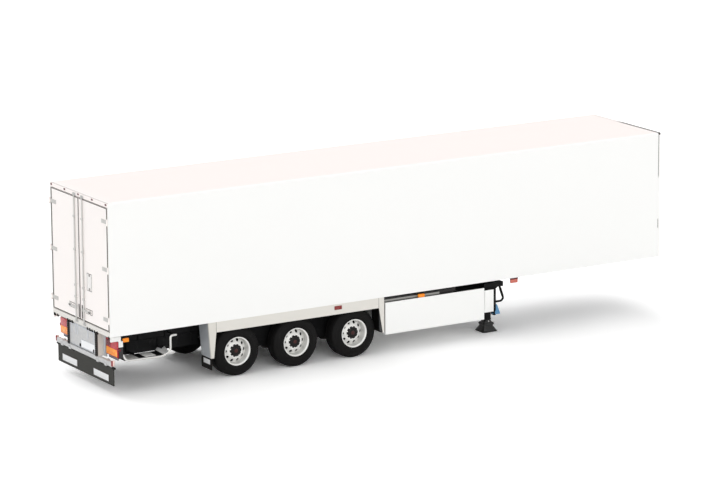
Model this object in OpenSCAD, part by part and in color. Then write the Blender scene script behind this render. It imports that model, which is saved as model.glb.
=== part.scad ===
// Refrigerated box semi trailer, a 1:50 scale model with rolling axles and hinged rear doors.
// X runs forward from the doors to the front wall, Y to the left and Z up from the ground.
// Modules measure X from the outer skin of the rear doors, and from_rear() moves them to the model's origin.

/* [Body] */
// Length from the skin of the rear doors to the front wall
body_length = 272; // [230:0.2:330]
// Width over the side walls
body_width = 52; // [43:0.2:64]
// Height of the side walls
body_height = 55.4; // [45:0.2:68]
// Thickness of a side wall
side_wall_t = 1.2; // [1:0.1:1.6]
// Thickness of a side wall's lip beside a rear door
door_lip = 0.45; // [0.35:0.05:0.6]
// Thickness of the roof
roof_t = 1.4; // [1:0.1:2]
// Thickness of the front wall
front_wall_t = 1.2; // [1:0.1:2]
// Thickness of the dark seal behind the front wall
front_seal_t = 0.35; // [0.3:0.05:0.8]
// Thickness of the load floor
floor_t = 2; // [1.4:0.1:2.6]
// Radius of the body's long upper edges
edge_r = 0.8; // [0.4:0.1:0.9]

/* [Rear doors] */
// Thickness of a rear door
door_t = 1.6; // [1.3:0.1:2]
// Gap beside, above and below a door
door_gap = 0.35; // [0.25:0.05:0.5]
// Gap between the two doors
centre_gap = 0.5; // [0.4:0.05:0.8]
// Height of the header above the doors
header_h = 1.95; // [1.6:0.05:2.6]
// Depth of the header, front to back
header_depth = 2.2; // [2:0.1:3]
// Height of the sill below the doors
sill_h = 2.1; // [1.8:0.1:2.6]
// Depth of the sill, front to back
sill_depth = 4.7; // [4:0.1:6]
// Radius of a hinge knuckle
knuckle_r = 0.36; // [0.32:0.01:0.42]
// Radius of a hinge pin
hinge_pin_r = 0.18; // [0.15:0.01:0.2]
// Length of a hinge strap
strap_length = 5.3; // [4:0.1:7]
// Height of a hinge strap
strap_h = 1.6; // [1.2:0.1:2]
// Distance of a lock rod from the middle of the trailer
lock_rod_y = 3.5; // [3:0.1:5]
// Radius of a lock rod
lock_rod_r = 0.3; // [0.25:0.05:0.35]

/* [Wheels and axles] */
// Radius of a tyre
tyre_r = 10.6; // [8.8:0.1:12.8]
// Width of a tyre
tyre_width = 7.6; // [6:0.1:9]
// Radius of the rim under the tyre's bead
rim_r = 5.8; // [5:0.1:6.5]
// Distance of a tyre's outer face in from the side of the body
tyre_inset = 0.8; // [0.4:0.1:2]
// Distance of the rear axle from the skin of the doors
rear_axle_x = 59.1; // [55:0.1:70]
// Distance between axles
axle_spacing = 28.1; // [26:0.1:34]
// Radius of an axle shaft
shaft_r = 0.75; // [0.6:0.05:1]
// Free space between the tyres and the underside of the body
arch_clearance = 3.4; // [3:0.1:6]

/* [Chassis] */
// Depth of the chassis rails over the axles
rail_h = 6.3; // [5:0.1:7]
// Depth of the chassis rails over the pallet box
neck_h = 2.1; // [1.8:0.1:2.4]
// Thickness of a chassis rail
rail_t = 1.2; // [0.8:0.1:2]
// Radius of an air spring
air_spring_r = 2.6; // [2:0.1:3]
// Depth of the stowage box under the rear of the floor
stowage_h = 9.9; // [8:0.1:11]
// Distance of the kingpin behind the front wall's face
kingpin_setback = 31; // [26:0.1:36]
// Radius of the kingpin
kingpin_r = 1; // [0.8:0.05:1.5]
// Length of the kingpin below its plate
kingpin_length = 2.8; // [2:0.1:4]
// Distance of the landing legs behind the kingpin
leg_to_kingpin = 53.5; // [46:0.1:58]
// Distance of the landing legs from the middle of the trailer
leg_y = 15.5; // [13:0.1:18]
// Length and width of a landing foot
foot_size = 7.1; // [5:0.1:8]
// Gap between an outer tyre and the skirt's end
skirt_gap = 3.5; // [2.4:0.1:7]
// Height of the wheel skirt's band
skirt_band_h = 4.4; // [3:0.1:5]
// Height of the pallet box
pallet_box_h = 13.9; // [10:0.1:16]

/* [Rear end] */
// Width of a tail lamp
lamp_w = 10.2; // [8:0.1:12]
// Height of a tail lamp
lamp_h = 7.2; // [6:0.1:8]
// Height of the underrun bar's middle above the ground
bar_z = 12.9; // [11:0.1:15]
// Height of the underrun bar's section
bar_h = 2.1; // [1.6:0.1:3]
// Height of the rear mudflap
flap_h = 8; // [5:0.1:10]

/* [Hidden] */
$fn = 32;

half_w = body_width / 2;
body_bottom = 2 * tyre_r + arch_clearance;
body_top = body_bottom + body_height;
inner_y = half_w - side_wall_t;
shell_front = body_length - front_wall_t - front_seal_t;
floor_top = body_bottom + floor_t;

// Rear doors, their hinges and lock rods
door_edge_y = half_w - door_lip - door_gap;
door_depth = door_t + 0.3;
header_bottom = body_top - header_h;
sill_bottom = body_bottom - 0.2;
sill_top = sill_bottom + sill_h;
door_top = header_bottom - door_gap;
door_bottom = sill_top + door_gap;
door_seal_w = 0.15;
hinge_clearance = 0.03;
hinge_gap = 0.05;
strap_proud = 0.28;
pivot_x = -knuckle_r - 0.09;
pivot_y = half_w - 0.15;
strap_zs = [door_bottom + 4.6, (door_bottom + door_top) / 2, door_top - 5.6];
lug_h = 0.5;
rod_x = -lock_rod_r - 0.12;
rod_overlap = 1.2;
guide_cover = 0.1;
rear_most = min(rod_x - lock_rod_r - guide_cover, pivot_x - knuckle_r);
mid_x = (body_length + rear_most) / 2;

// Wheels and axles
tyre_out_y = half_w - tyre_inset;
tyre_in_y = tyre_out_y - tyre_width;
axle_xs = [for (i = [0:2]) rear_axle_x + i * axle_spacing];
beam_r = 1.4;
beam_end_y = tyre_in_y - 1;
shaft_clearance = 0.05;
hub_r = 2.1;
flange_r = rim_r + 0.25;
flange_w = 0.5;

// Chassis
rail_y = tyre_in_y - 2.1 - air_spring_r;
rail_out_y = rail_y + rail_t / 2;
rail_top = body_bottom;
rail_bottom = rail_top - rail_h;
neck_bottom = rail_top - neck_h;
rail_rear = sill_depth + 1;
kingpin_x = body_length - kingpin_setback;
leg_x = kingpin_x - leg_to_kingpin;
rail_front = leg_x + 9.5;
cross_pitch = 18;
cross_x = sill_depth + 12;
cross_w = 1.6;
plate_t = 1.2;
arm_z = tyre_r - 0.4;
arm_top = arm_z + 1.3;
arm_w = 1.2;
piston_drop = 3.2;
hanger_reach = 10;
spring_reach = 7.6;

// Wheel skirts and boxes
skirt_reach = tyre_r + skirt_gap;
skirt_rear = rear_axle_x - skirt_reach;
skirt_front = axle_xs[2] + skirt_reach;
skirt_t = 0.7;
skirt_leg_top_w = 3.7;
skirt_leg_foot_w = 1.3;
skirt_front_leg_w = 2.6;
skirt_leg_z = 9.4;
liner_z = 2 * tyre_r + 1.4;
box_rear = skirt_front + 0.7;
box_front = leg_x - 7.8;
box_top = neck_bottom - 0.4;
box_bottom = box_top - pallet_box_h;
box_wall = 0.8;
box_rail_x = leg_x - 21.3;

// Landing gear
leg_outer = 2.6;
leg_inner = 1.9;
leg_split_z = 10.4;
leg_top = neck_bottom - 1;
foot_top = 4.2;
crank_plate_t = 0.9;
crank_plate_front = leg_x + leg_outer / 2 + crank_plate_t;
crank_y = -leg_y - 1.8;

// Rear end
lamp_out_y = half_w - 0.25;
lamp_in_y = lamp_out_y - lamp_w;
lamp_top = body_bottom - 2.2;
lamp_x = 3;
lens_t = 0.7;
housing_x = lamp_x + lens_t;
housing_front = housing_x + 1.9;
housing_y = half_w - 0.1;
post_to_lamp = 3.05;
post_y = lamp_in_y - post_to_lamp;
post_w = 1.2;
bar_x = 0.7;
bar_t = 1.8;
bar_top = bar_z + bar_h / 2;
bar_bottom = bar_z - bar_h / 2;
bar_end_y = half_w - 1.6;

// Moves a piece measured from the doors' skin to the model's origin
module from_rear() translate([-mid_x, 0, 0]) children();

// Puts a piece drawn on the left on either side (+1 left, -1 right), or on both
module on_side(side) mirror([0, side < 0 ? 1 : 0, 0]) children();
module both_sides() for (side = [-1, 1]) on_side(side) children();

// A block and a rectangle from two corners
module block(low, high) translate(low) cube(high - low);
module rectangle(low, high) translate(low) square(high - low);

// A Y-Z outline drawn out along X, and an X-Z outline drawn out along Y
module along_x(x0, x1) translate([x0, 0, 0]) rotate([90, 0, 90]) linear_extrude(x1 - x0) children();
module along_y(y0, y1) translate([0, y1, 0]) rotate([90, 0, 0]) linear_extrude(y1 - y0) children();

// A round rod bent through a list of points
module bent_rod(points, r) {
    for (i = [0:len(points) - 2]) {
        d = points[i + 1] - points[i];
        turn = [0, acos(d[2] / norm(d)), atan2(d[1], d[0])];
        translate(points[i]) rotate(turn) cylinder(h = norm(d), r = r);
    }
    for (i = [1:len(points) - 2]) translate(points[i]) sphere(r * 1.04);
}

// The body's outline seen from behind, drawn in by an inset
module body_outline(inset = 0) {
    w = half_w - inset;
    top = body_top - inset;
    rectangle([-w, body_bottom + inset], [w, top - edge_r]);
    rectangle([edge_r - w, top - 2 * edge_r], [w - edge_r, top]);
    for (s = [-1, 1]) translate([s * (w - edge_r), top - edge_r]) circle(edge_r);
}

// ---- Body ----

module side_wall(side) color("white") on_side(side) difference() {
    along_x(0, shell_front) intersection() {
        body_outline();
        rectangle([inner_y, body_bottom], [half_w, body_top]);
    }
    // Thinned to a lip beside the door, and cut back under the header
    block([-1, inner_y - 1, body_bottom - 1], [door_depth, half_w - door_lip, body_top + 1]);
    block([-1, inner_y - 1, header_bottom], [header_depth, half_w + 1, body_top + 1]);
}

module roof() color("white")
    block([header_depth, -inner_y, body_top - roof_t], [shell_front, inner_y, body_top]);

// Air and electric sockets sit in a pocket at the foot of the front wall
pocket_w = 17;
pocket_h = 4.4;
pocket_bottom = body_bottom + 2.6;
pocket_depth = 1;
front_corner_r = front_wall_t - 0.2;
module front_wall() color("white") difference() {
    intersection() {
        along_x(shell_front + front_seal_t, body_length) body_outline();
        linear_extrude(body_top + 1) {
            rectangle([shell_front, -half_w], [body_length - front_corner_r, half_w]);
            rectangle([shell_front, front_corner_r - half_w], [body_length, half_w - front_corner_r]);
            for (s = [-1, 1]) translate([body_length - front_corner_r, s * (half_w - front_corner_r)])
                circle(front_corner_r);
        }
    }
    block([body_length - pocket_depth, -pocket_w / 2, pocket_bottom],
        [body_length + 1, pocket_w / 2, pocket_bottom + pocket_h]);
}

module coupling_panel() color("dimgray") {
    back = body_length - pocket_depth;
    panel_t = 0.3;
    margin = 0.1;
    block([back, margin - pocket_w / 2, pocket_bottom + margin],
        [back + panel_t, pocket_w / 2 - margin, pocket_bottom + pocket_h - margin]);
    for (i = [-1.5:1.5]) translate([back + panel_t, i * 4, pocket_bottom + pocket_h / 2])
        rotate([0, 90, 0]) cylinder(h = 0.6, r = 0.9);
}

module front_seal() color([0.2, 0.2, 0.2]) along_x(shell_front, shell_front + front_seal_t) difference() {
    body_outline(0.12);
    rectangle([-inner_y, floor_top], [inner_y, body_top - roof_t]);
}

module load_floor() color("silver")
    block([sill_depth, -inner_y, body_bottom], [shell_front, inner_y, floor_top]);

module rear_header() color("white") along_x(0, header_depth) intersection() {
    body_outline();
    rectangle([-half_w, header_bottom], [half_w, body_top]);
}

module rear_sill() color("lightgray") {
    block([0, door_lip - half_w, sill_bottom], [door_depth, half_w - door_lip, sill_top]);
    block([0, -inner_y, sill_bottom], [sill_depth, inner_y, sill_top]);
}

// ---- Rear doors ----

// The fixed halves of the hinges: each has two lugs on the side wall's lip and the pin between them
module door_hinges() color("silver") both_sides() for (z = strap_zs) {
    lug_z = strap_h / 2 + hinge_gap;
    for (low = [z - lug_z - lug_h, z + lug_z]) {
        block([pivot_x, pivot_y - 0.3, low], [0, half_w, low + lug_h]);
        translate([pivot_x, pivot_y, low]) cylinder(h = lug_h, r = knuckle_r);
    }
    translate([pivot_x, pivot_y, z - lug_z - lug_h]) cylinder(h = 2 * (lug_z + lug_h), r = hinge_pin_r);
}

module door_leaf() block([0, centre_gap / 2, door_bottom], [door_t, door_edge_y, door_top]);
module door(side) color("white") on_side(side) door_leaf();

// A dark strip round all four edges of a door, set back from its skin
module door_seal(side) color([0.15, 0.15, 0.15]) on_side(side) difference() {
    block([0.5, centre_gap / 2 - door_seal_w, door_bottom - door_seal_w],
        [door_t - 0.4, door_edge_y + door_seal_w, door_top + door_seal_w]);
    door_leaf();
}

// Three hinge straps with their knuckles, and the lock rod with its guides, cams and handle
handle_z = door_bottom + 4.6;
module door_fittings(side) color("silver") on_side(side) {
    for (z = strap_zs) difference() {
        union() {
            block([-strap_proud, pivot_y - strap_length, z - strap_h / 2],
                [0, door_edge_y, z + strap_h / 2]);
            block([-strap_proud, door_edge_y - 0.1, z - strap_h / 2],
                [pivot_x + knuckle_r, pivot_y, z + strap_h / 2]);
            translate([pivot_x, pivot_y, z - strap_h / 2]) cylinder(h = strap_h, r = knuckle_r);
        }
        translate([pivot_x, pivot_y, z])
            cylinder(h = 2 * strap_h, r = hinge_pin_r + hinge_clearance, center = true);
    }
    rod_low = sill_top - rod_overlap;
    rod_high = header_bottom + rod_overlap;
    translate([rod_x, lock_rod_y, rod_low]) cylinder(h = rod_high - rod_low, r = lock_rod_r);
    cover_x = rod_x - lock_rod_r - guide_cover;
    for (z = [strap_zs[0] + 4, strap_zs[1] - 12, strap_zs[1] + 3, strap_zs[2] - 3])
        block([cover_x, lock_rod_y - 0.55, z], [0, lock_rod_y + 0.55, z + 0.9]);
    // Cams at the rod's ends, clear of the sill's and the header's faces
    for (z = [rod_low, rod_high - 0.8])
        block([cover_x, lock_rod_y - 0.45, z], [-0.08, lock_rod_y + 0.45, z + 0.8]);
    // Handle, its hub on the rod and its catch on the door
    block([rod_x - 0.3, lock_rod_y - 0.1, handle_z - 0.35],
        [rod_x + 0.15, lock_rod_y + 6.2, handle_z + 0.35]);
    block([rod_x - 0.4, lock_rod_y - 0.5, handle_z - 0.7], [0, lock_rod_y + 0.5, handle_z + 0.7]);
    block([rod_x - 0.35, lock_rod_y + 4.6, handle_z - 0.8], [0, lock_rod_y + 5.8, handle_z + 0.8]);
}

module document_holder() color("whitesmoke") on_side(-1) {
    low = [-0.25, 6.5, strap_zs[1] - 11.9];
    high = [0, 10.8, strap_zs[1] - 4.5];
    rim = 0.3;
    difference() {
        block(low, high);
        block([low[0] - 1, low[1] + rim, low[2] + rim], [low[0] + 0.13, high[1] - rim, high[2] - rim]);
    }
}

// ---- Chassis ----

module chassis_rails() color([0.12, 0.12, 0.13]) both_sides() along_y(rail_y - rail_t / 2, rail_out_y)
    polygon([[rail_rear, rail_top], [rail_front, rail_top], [rail_front, neck_bottom],
        [skirt_front + 0.4, neck_bottom], [skirt_front - 5, rail_bottom], [rail_rear + 8, rail_bottom],
        [rail_rear, rail_bottom + 2]]);

// Crossmembers between the rails and outriggers beyond them
module crossmembers() color([0.14, 0.14, 0.15]) for (x = [cross_x:cross_pitch:rail_front - cross_w]) {
    block([x, rail_t / 2 - rail_y, neck_bottom], [x + cross_w, rail_y - rail_t / 2, rail_top]);
    both_sides() block([x, rail_out_y, rail_top - 1], [x + cross_w, inner_y - 1, rail_top]);
}

// A closed box between the rails, hung from the first two crossmembers
module stowage_box() color([0.1, 0.1, 0.1]) {
    reach = rail_y - rail_t / 2 - 0.1;
    front = rear_axle_x - spring_reach - air_spring_r - 1.4;
    block([9.5, -reach, neck_bottom - stowage_h], [front, reach, neck_bottom]);
}

module coupling_plate() color([0.2, 0.2, 0.21])
    block([kingpin_x - 15, -17, rail_top - plate_t], [kingpin_x + 21, 17, rail_top]);

module kingpin() color("silver") translate([kingpin_x, 0, rail_top - plate_t - kingpin_length])
    cylinder(h = kingpin_length, r = kingpin_r, $fn = 48);

module hangers() color([0.12, 0.12, 0.13]) for (x = axle_xs) both_sides()
    along_y(rail_y - 1.1, rail_y + 1.1) difference() {
        polygon([[x + hanger_reach - 2, rail_bottom], [x + hanger_reach + 2.4, rail_bottom],
            [x + hanger_reach + 1.2, arm_z - 1.2], [x + hanger_reach - 1.2, arm_z - 1.2]]);
        rectangle([x, arm_z - 1.8], [x + hanger_reach + 0.2, arm_z + 1.2]);
    }

// Each arm runs from its hanger over the axle beam to the air spring behind
module trailing_arms() color([0.16, 0.16, 0.17]) for (x = axle_xs) both_sides() difference() {
    along_y(rail_y - arm_w / 2, rail_y + arm_w / 2)
        polygon([[x + hanger_reach + 0.1, arm_z - 0.7], [x + hanger_reach + 0.1, arm_z + 0.7],
            [x + 1.9, arm_z + 1.7], [x - 1.9, arm_z + 1.7], [x - spring_reach + air_spring_r, arm_top],
            [x - spring_reach - 2, arm_top], [x - spring_reach - 2, arm_z + 0.3], [x - 2.4, arm_z - 1.2],
            [x + 2.4, arm_z - 1.2]]);
    translate([x, 0, tyre_r]) rotate([90, 0, 0]) cylinder(h = body_width, r = beam_r, center = true);
}

// Each spring's piston straddles the end of its arm
module air_springs() color([0.08, 0.08, 0.08]) for (x = axle_xs) both_sides()
    translate([x - spring_reach, rail_y, 0]) {
        mid = (arm_top + rail_bottom) / 2;
        translate([0, 0, arm_top]) cylinder(h = rail_bottom - arm_top, r = air_spring_r - 0.7);
        translate([0, 0, mid]) cylinder(h = rail_bottom - mid - 0.5, r = air_spring_r);
        translate([0, 0, rail_bottom - 0.4]) cylinder(h = 0.4, r = air_spring_r - 0.3);
        difference() {
            translate([0, 0, arm_z - piston_drop])
                cylinder(h = arm_top - arm_z + piston_drop, r = air_spring_r - 0.2);
            block([-air_spring_r, -arm_w / 2, arm_z - 1.3], [air_spring_r, arm_w / 2, arm_top]);
        }
    }

module axle_beams() color([0.14, 0.14, 0.15]) for (x = axle_xs) translate([x, 0, tyre_r]) rotate([90, 0, 0])
    difference() {
        cylinder(h = 2 * beam_end_y, r = beam_r, center = true);
        cylinder(h = body_width, r = shaft_r + shaft_clearance, center = true);
    }

// ---- Wheels ----

module axle_shaft(x) color("silver") translate([x, 0, tyre_r]) rotate([90, 0, 0])
    cylinder(h = 2 * (tyre_out_y - 1.4), r = shaft_r, center = true);

// A rim's section, with X as its radius and Y as the distance from its inner face
rim_w = tyre_width - 0.6;
disc_y = rim_w - 2.2;
bolt_circle_r = 3.3;
module rim_section() {
    wall = 0.5;
    disc_t = 0.7;
    rectangle([rim_r - wall, 0], [rim_r, rim_w]);
    rectangle([rim_r - wall, rim_w - flange_w], [flange_r, rim_w + 0.1]);
    disc_in_y = disc_y - 1.6;
    hub_y = disc_y + 2.1;
    polygon([[rim_r - wall, disc_in_y], [rim_r - wall, disc_in_y + disc_t], [bolt_circle_r, disc_y + disc_t],
        [hub_r, disc_y + disc_t], [hub_r, disc_y], [bolt_circle_r, disc_y]]);
    polygon([[shaft_r, disc_y - 2], [hub_r, disc_y - 2], [hub_r, hub_y - 0.3], [hub_r - 0.4, hub_y],
        [shaft_r, hub_y]]);
}

module rims(x) color("gainsboro") both_sides() translate([x, tyre_in_y + 0.3, tyre_r]) rotate([-90, 0, 0])
    difference() {
        rotate_extrude($fn = 64) rim_section();
        for (a = [0:36:324]) rotate(a) translate([(bolt_circle_r + rim_r - 0.3) / 2, 0, 0])
            cylinder(h = rim_w, r = 0.42, $fn = 16);
    }

// A tyre's section: round shoulders, full side walls and a step for the rim's flange
module tyre_section() {
    shoulder_r = 1.3;
    bead_r = 1.6;
    difference() {
        union() {
            rectangle([rim_r, 0.7], [tyre_r - shoulder_r, tyre_width - 0.7]);
            rectangle([rim_r + bead_r, 0], [tyre_r - shoulder_r, tyre_width]);
            rectangle([tyre_r - shoulder_r - 0.1, shoulder_r], [tyre_r, tyre_width - shoulder_r]);
            for (y = [shoulder_r, tyre_width - shoulder_r])
                translate([tyre_r - shoulder_r, y]) circle(shoulder_r);
            for (y = [bead_r, tyre_width - bead_r])
                translate([rim_r + bead_r, y]) circle(bead_r);
        }
        rectangle([0, -1], [rim_r, tyre_width + 1]);
        rectangle([0, 0.3 + rim_w - flange_w - 0.05], [flange_r + 0.05, tyre_width + 1]);
    }
}

module tyres(x) color([0.07, 0.07, 0.07]) both_sides() translate([x, tyre_in_y, tyre_r]) rotate([-90, 0, 0])
    rotate_extrude($fn = 96) tyre_section();

// ---- Wheel skirts, liners and flaps ----

// The band over the wheels, between its two legs
module skirt_bands() color([0.86, 0.86, 0.85]) both_sides()
    block([skirt_rear + skirt_leg_top_w, half_w - skirt_t, body_bottom - skirt_band_h],
        [skirt_front - skirt_front_leg_w, half_w, body_bottom]);

// The tapered rear leg, with the guard plate that turns in behind the wheel
module skirt_rear_legs() color([0.86, 0.86, 0.85]) both_sides() {
    foot_x = skirt_rear + 1.2;
    plate_t = 0.7;
    leg_front = skirt_rear + skirt_leg_top_w;
    along_y(half_w - skirt_t, half_w)
        polygon([[skirt_rear, body_bottom], [leg_front, body_bottom],
            [leg_front, body_bottom - skirt_band_h], [foot_x + skirt_leg_foot_w, skirt_leg_z],
            [foot_x, skirt_leg_z]]);
    along_y(tyre_in_y, half_w - skirt_t)
        polygon([[skirt_rear, body_bottom], [skirt_rear + plate_t, body_bottom],
            [foot_x + plate_t, skirt_leg_z], [foot_x, skirt_leg_z]]);
}

module skirt_front_legs() color([0.86, 0.86, 0.85]) both_sides() along_y(half_w - skirt_t, half_w)
    polygon([[skirt_front - skirt_front_leg_w, body_bottom], [skirt_front, body_bottom],
        [skirt_front, skirt_leg_z - 0.4], [skirt_front - skirt_front_leg_w + 0.3, skirt_leg_z + 0.8]]);

// Flat liners over the tyres, hung from the floor by three webs each
liner_out_y = half_w - skirt_t - 0.1;
module wheel_liners() color([0.1, 0.1, 0.1]) both_sides() {
    block([skirt_rear + 0.9, tyre_in_y, liner_z], [skirt_front - 0.9, liner_out_y, liner_z + 0.5]);
    for (x = [skirt_rear + 6, axle_xs[1], skirt_front - 6])
        block([x - 0.5, tyre_in_y + 2, liner_z + 0.4], [x + 0.5, liner_out_y - 2, body_bottom]);
}

// A flap below each rear leg, and one ahead of each front wheel that hangs from the liner's end
module wheel_flaps() color([0.08, 0.08, 0.08]) both_sides() {
    block([skirt_rear + 1.3, tyre_in_y - 0.4, 4.4], [skirt_rear + 1.7, half_w - 0.3, skirt_leg_z]);
    block([skirt_front - 0.9, tyre_in_y, skirt_leg_z - 0.2],
        [skirt_front - 0.4, liner_out_y, liner_z + 0.5]);
}

// ---- Boxes between the wheels and the legs ----

module pallet_box() color("white") along_y(box_wall - half_w, half_w - box_wall) difference() {
    rectangle([box_rear, box_bottom], [box_front, box_top]);
    rectangle([box_rear + box_wall, box_bottom + box_wall], [box_front - box_wall, box_top - box_wall]);
}

module pallet_box_doors() color("white") both_sides()
    block([box_rear, half_w - box_wall, box_bottom], [box_front, half_w, box_top]);

// Rails that the pallet box hangs from, in the gap under the floor
module pallet_box_rails() color("gray") both_sides()
    block([box_rear, half_w - 4, box_top], [box_rail_x, half_w - 1.8, body_bottom - 1]);

module tool_boxes() color("white") both_sides()
    block([box_front + 0.5, half_w - 7, box_top - 11.1], [box_front + 5.1, half_w - 0.5, leg_top]);

// ---- Landing gear ----

module landing_beam() color([0.1, 0.1, 0.1]) {
    rear = leg_x - 7.2;
    front = leg_x + 2.5;
    block([rear, 1 - half_w, leg_top], [front, half_w - 1, neck_bottom]);
    block([front, 1.5 - leg_y, leg_top], [rail_front, leg_y - 1.5, neck_bottom]);
    both_sides() block([rear, rail_out_y + 0.1, neck_bottom], [front, half_w - 1, rail_top - 1.1]);
}

module landing_legs() color([0.09, 0.09, 0.09]) both_sides() translate([leg_x, leg_y, 0]) {
    outer = leg_outer / 2;
    inner = leg_inner / 2;
    block([-outer, -outer, leg_split_z], [outer, outer, leg_top]);
    block([-inner, -inner, foot_top - 1], [inner, inner, leg_split_z]);
    // Flat plate ahead of the outer tube
    block([outer, -0.5, 8.4], [outer + crank_plate_t, 3.2, leg_top]);
}

// Stepped feet with two ears that hold the leg
module landing_feet() color([0.09, 0.09, 0.09]) both_sides() translate([leg_x, leg_y, 0]) {
    half = foot_size / 2;
    slot = leg_inner / 2 + 0.1;
    step = 0.62;
    difference() {
        union() {
            for (i = [0:3]) {
                reach = half - i * step;
                block([-reach, -reach, 0], [reach, reach, 0.7 + 0.9 * i]);
            }
            for (s = [-1, 1]) block([-1.5, s * 1.55 - 0.45, 2], [1.5, s * 1.55 + 0.45, foot_top + 0.4]);
        }
        block([-slot, -slot, foot_top - 1], [slot, slot, foot_top + 1]);
    }
}

// Folded crank: a loop of round bar whose ends are square to the plate
module crank_handle() color([0.1, 0.1, 0.1]) {
    x = crank_plate_front;
    y = crank_y;
    bent_rod([[x, y, 19], [x + 1.2, y, 19], [x + 3.2, y, 20.2], [x + 5.5, y, 14], [x + 4.4, y, 12.8],
        [x, y, 12.8]], 0.42);
}

module wheel_chock() color([0.25, 0.5, 0.7]) along_y(crank_y - 1, crank_y + 1)
    polygon([[crank_plate_front, 11.8], [crank_plate_front + 1.6, 11.8], [crank_plate_front + 3.4, 7.4],
        [crank_plate_front, 7.4]]);

// ---- Rear end ----

// Lamp boxes, with the block that joins each to the sill and the cheek at the corner
module lamp_housings() color("white") both_sides() {
    block([housing_x, lamp_in_y - 0.2, lamp_top - lamp_h], [housing_front, housing_y, lamp_top]);
    block([housing_x, lamp_in_y - 0.2, lamp_top], [sill_depth, housing_y, sill_bottom]);
    block([0.2, housing_y - 0.8, lamp_top + 0.2], [housing_x, housing_y, sill_bottom]);
}

module tail_lamps() color("orangered") both_sides()
    block([lamp_x, lamp_in_y, lamp_top - lamp_h + 0.2], [housing_x, lamp_out_y, lamp_top - 0.1]);

// Panel across the back of the chassis, and the plate holder between the posts
module rear_panels() color("silver") {
    block([lamp_x + 0.2, 0.3 - lamp_in_y, bar_top], [lamp_x + 0.9, lamp_in_y - 0.3, sill_bottom]);
    edge = post_y - post_w / 2 - 0.05;
    block([0.6, -edge, bar_top + 0.6], [1.3, edge, sill_bottom]);
}

module number_plate() color("white")
    block([0.35, 1.3 - post_y, bar_top + 1], [0.6, 13.7 - post_y, bar_top + 4.3]);

module bumper_posts() color([0.1, 0.1, 0.1]) both_sides()
    block([0.05, post_y - post_w / 2, bar_top], [lamp_x + 0.2, post_y + post_w / 2, sill_bottom]);

module bumper_bar() color("gainsboro") along_y(-bar_end_y, bar_end_y) {
    r = 0.5;
    rectangle([bar_x, bar_bottom + r], [bar_x + bar_t, bar_top - r]);
    rectangle([bar_x + r, bar_bottom], [bar_x + bar_t - r, bar_top]);
    for (x = [bar_x + r, bar_x + bar_t - r], z = [bar_bottom + r, bar_top - r]) translate([x, z]) circle(r);
}

module rear_mudflap() color([0.16, 0.16, 0.16])
    block([1.5, 1.1 - half_w, bar_bottom - flap_h], [2, half_w - 1.1, bar_bottom]);

// Short bent arms with a marker lamp at the ends of the bar
module marker_arms() color("firebrick") both_sides() {
    x = bar_x + bar_t / 2;
    bent_rod([[x, bar_end_y, bar_z], [x, bar_end_y + 0.7, bar_z], [x, bar_end_y + 0.95, bar_z + 1.7]], 0.36);
}

// Lamps behind the corner, on the wheel skirt, on the pallet box and ahead of the legs
module side_lamps() color("orange") both_sides() {
    block([5.7, half_w - 1.4, body_bottom - 3], [8.7, half_w - 0.3, body_bottom - 1.2]);
    block([6.6, half_w - 1.2, body_bottom - 1.3], [7.8, half_w - 0.5, body_bottom]);
    block([axle_xs[2] - 10.5, half_w, body_bottom - 2.6],
        [axle_xs[2] - 6.5, half_w + 0.4, body_bottom - 0.5]);
    block([leg_x - 41.2, half_w - 1.2, box_top], [leg_x - 37.4, half_w + 0.2, box_top + 1.4]);
    block([leg_x + 6, half_w - 1.1, body_bottom - 2.5], [leg_x + 9.6, half_w - 0.1, body_bottom]);
}

// Bent tubes that guard the space behind the wheels, from the lamp box round to the rail
guard_r = 0.45;
guard_y = half_w - 0.9;
guard_front = 27.8;
guard_top = 21.6;
module guard_tubes() color("gainsboro") both_sides() bent_rod([[housing_front, half_w - 2, 16.2],
    [housing_front + 0.8, half_w - 2, 16.2], [7.4, guard_y, 13.7], [24, guard_y, 13.4], [27, guard_y, 14.6],
    [guard_front, guard_y, 16.6], [guard_front, guard_y, 20.6], [guard_front + 0.6, guard_y, guard_top],
    [guard_front + 1.8, half_w - 2, guard_top], [guard_front + 1.8, rail_out_y, guard_top]], guard_r);

// Step plates inside the guard tube, on brackets under the rail
step_z = 13.5;
step_t = 0.5;
step_out_y = guard_y - guard_r - 0.02;
bracket_y = rail_y - rail_t / 2;
module steps() color("gray") both_sides() {
    translate([0, 0, step_z]) linear_extrude(step_t)
        polygon([[7.2, 17.6], [7.2, step_out_y - 0.5], [7.9, step_out_y], [26.4, step_out_y], [29.1, 20.4],
            [31.6, bracket_y], [28, 16.4], [28, bracket_y], [25, 16.4], [25, 17.6], [15.2, 17.6],
            [15.2, bracket_y], [13.8, bracket_y], [13.8, 17.6]]);
    block([28.3, bracket_y, step_z], [29.9, bracket_y + 0.5, rail_bottom]);
    block([29.5, bracket_y, step_z], [31.4, bracket_y + 0.5, step_z + step_t]);
    block([13.8, bracket_y, step_z], [15.2, bracket_y + 0.5, rail_bottom]);
}

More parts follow.
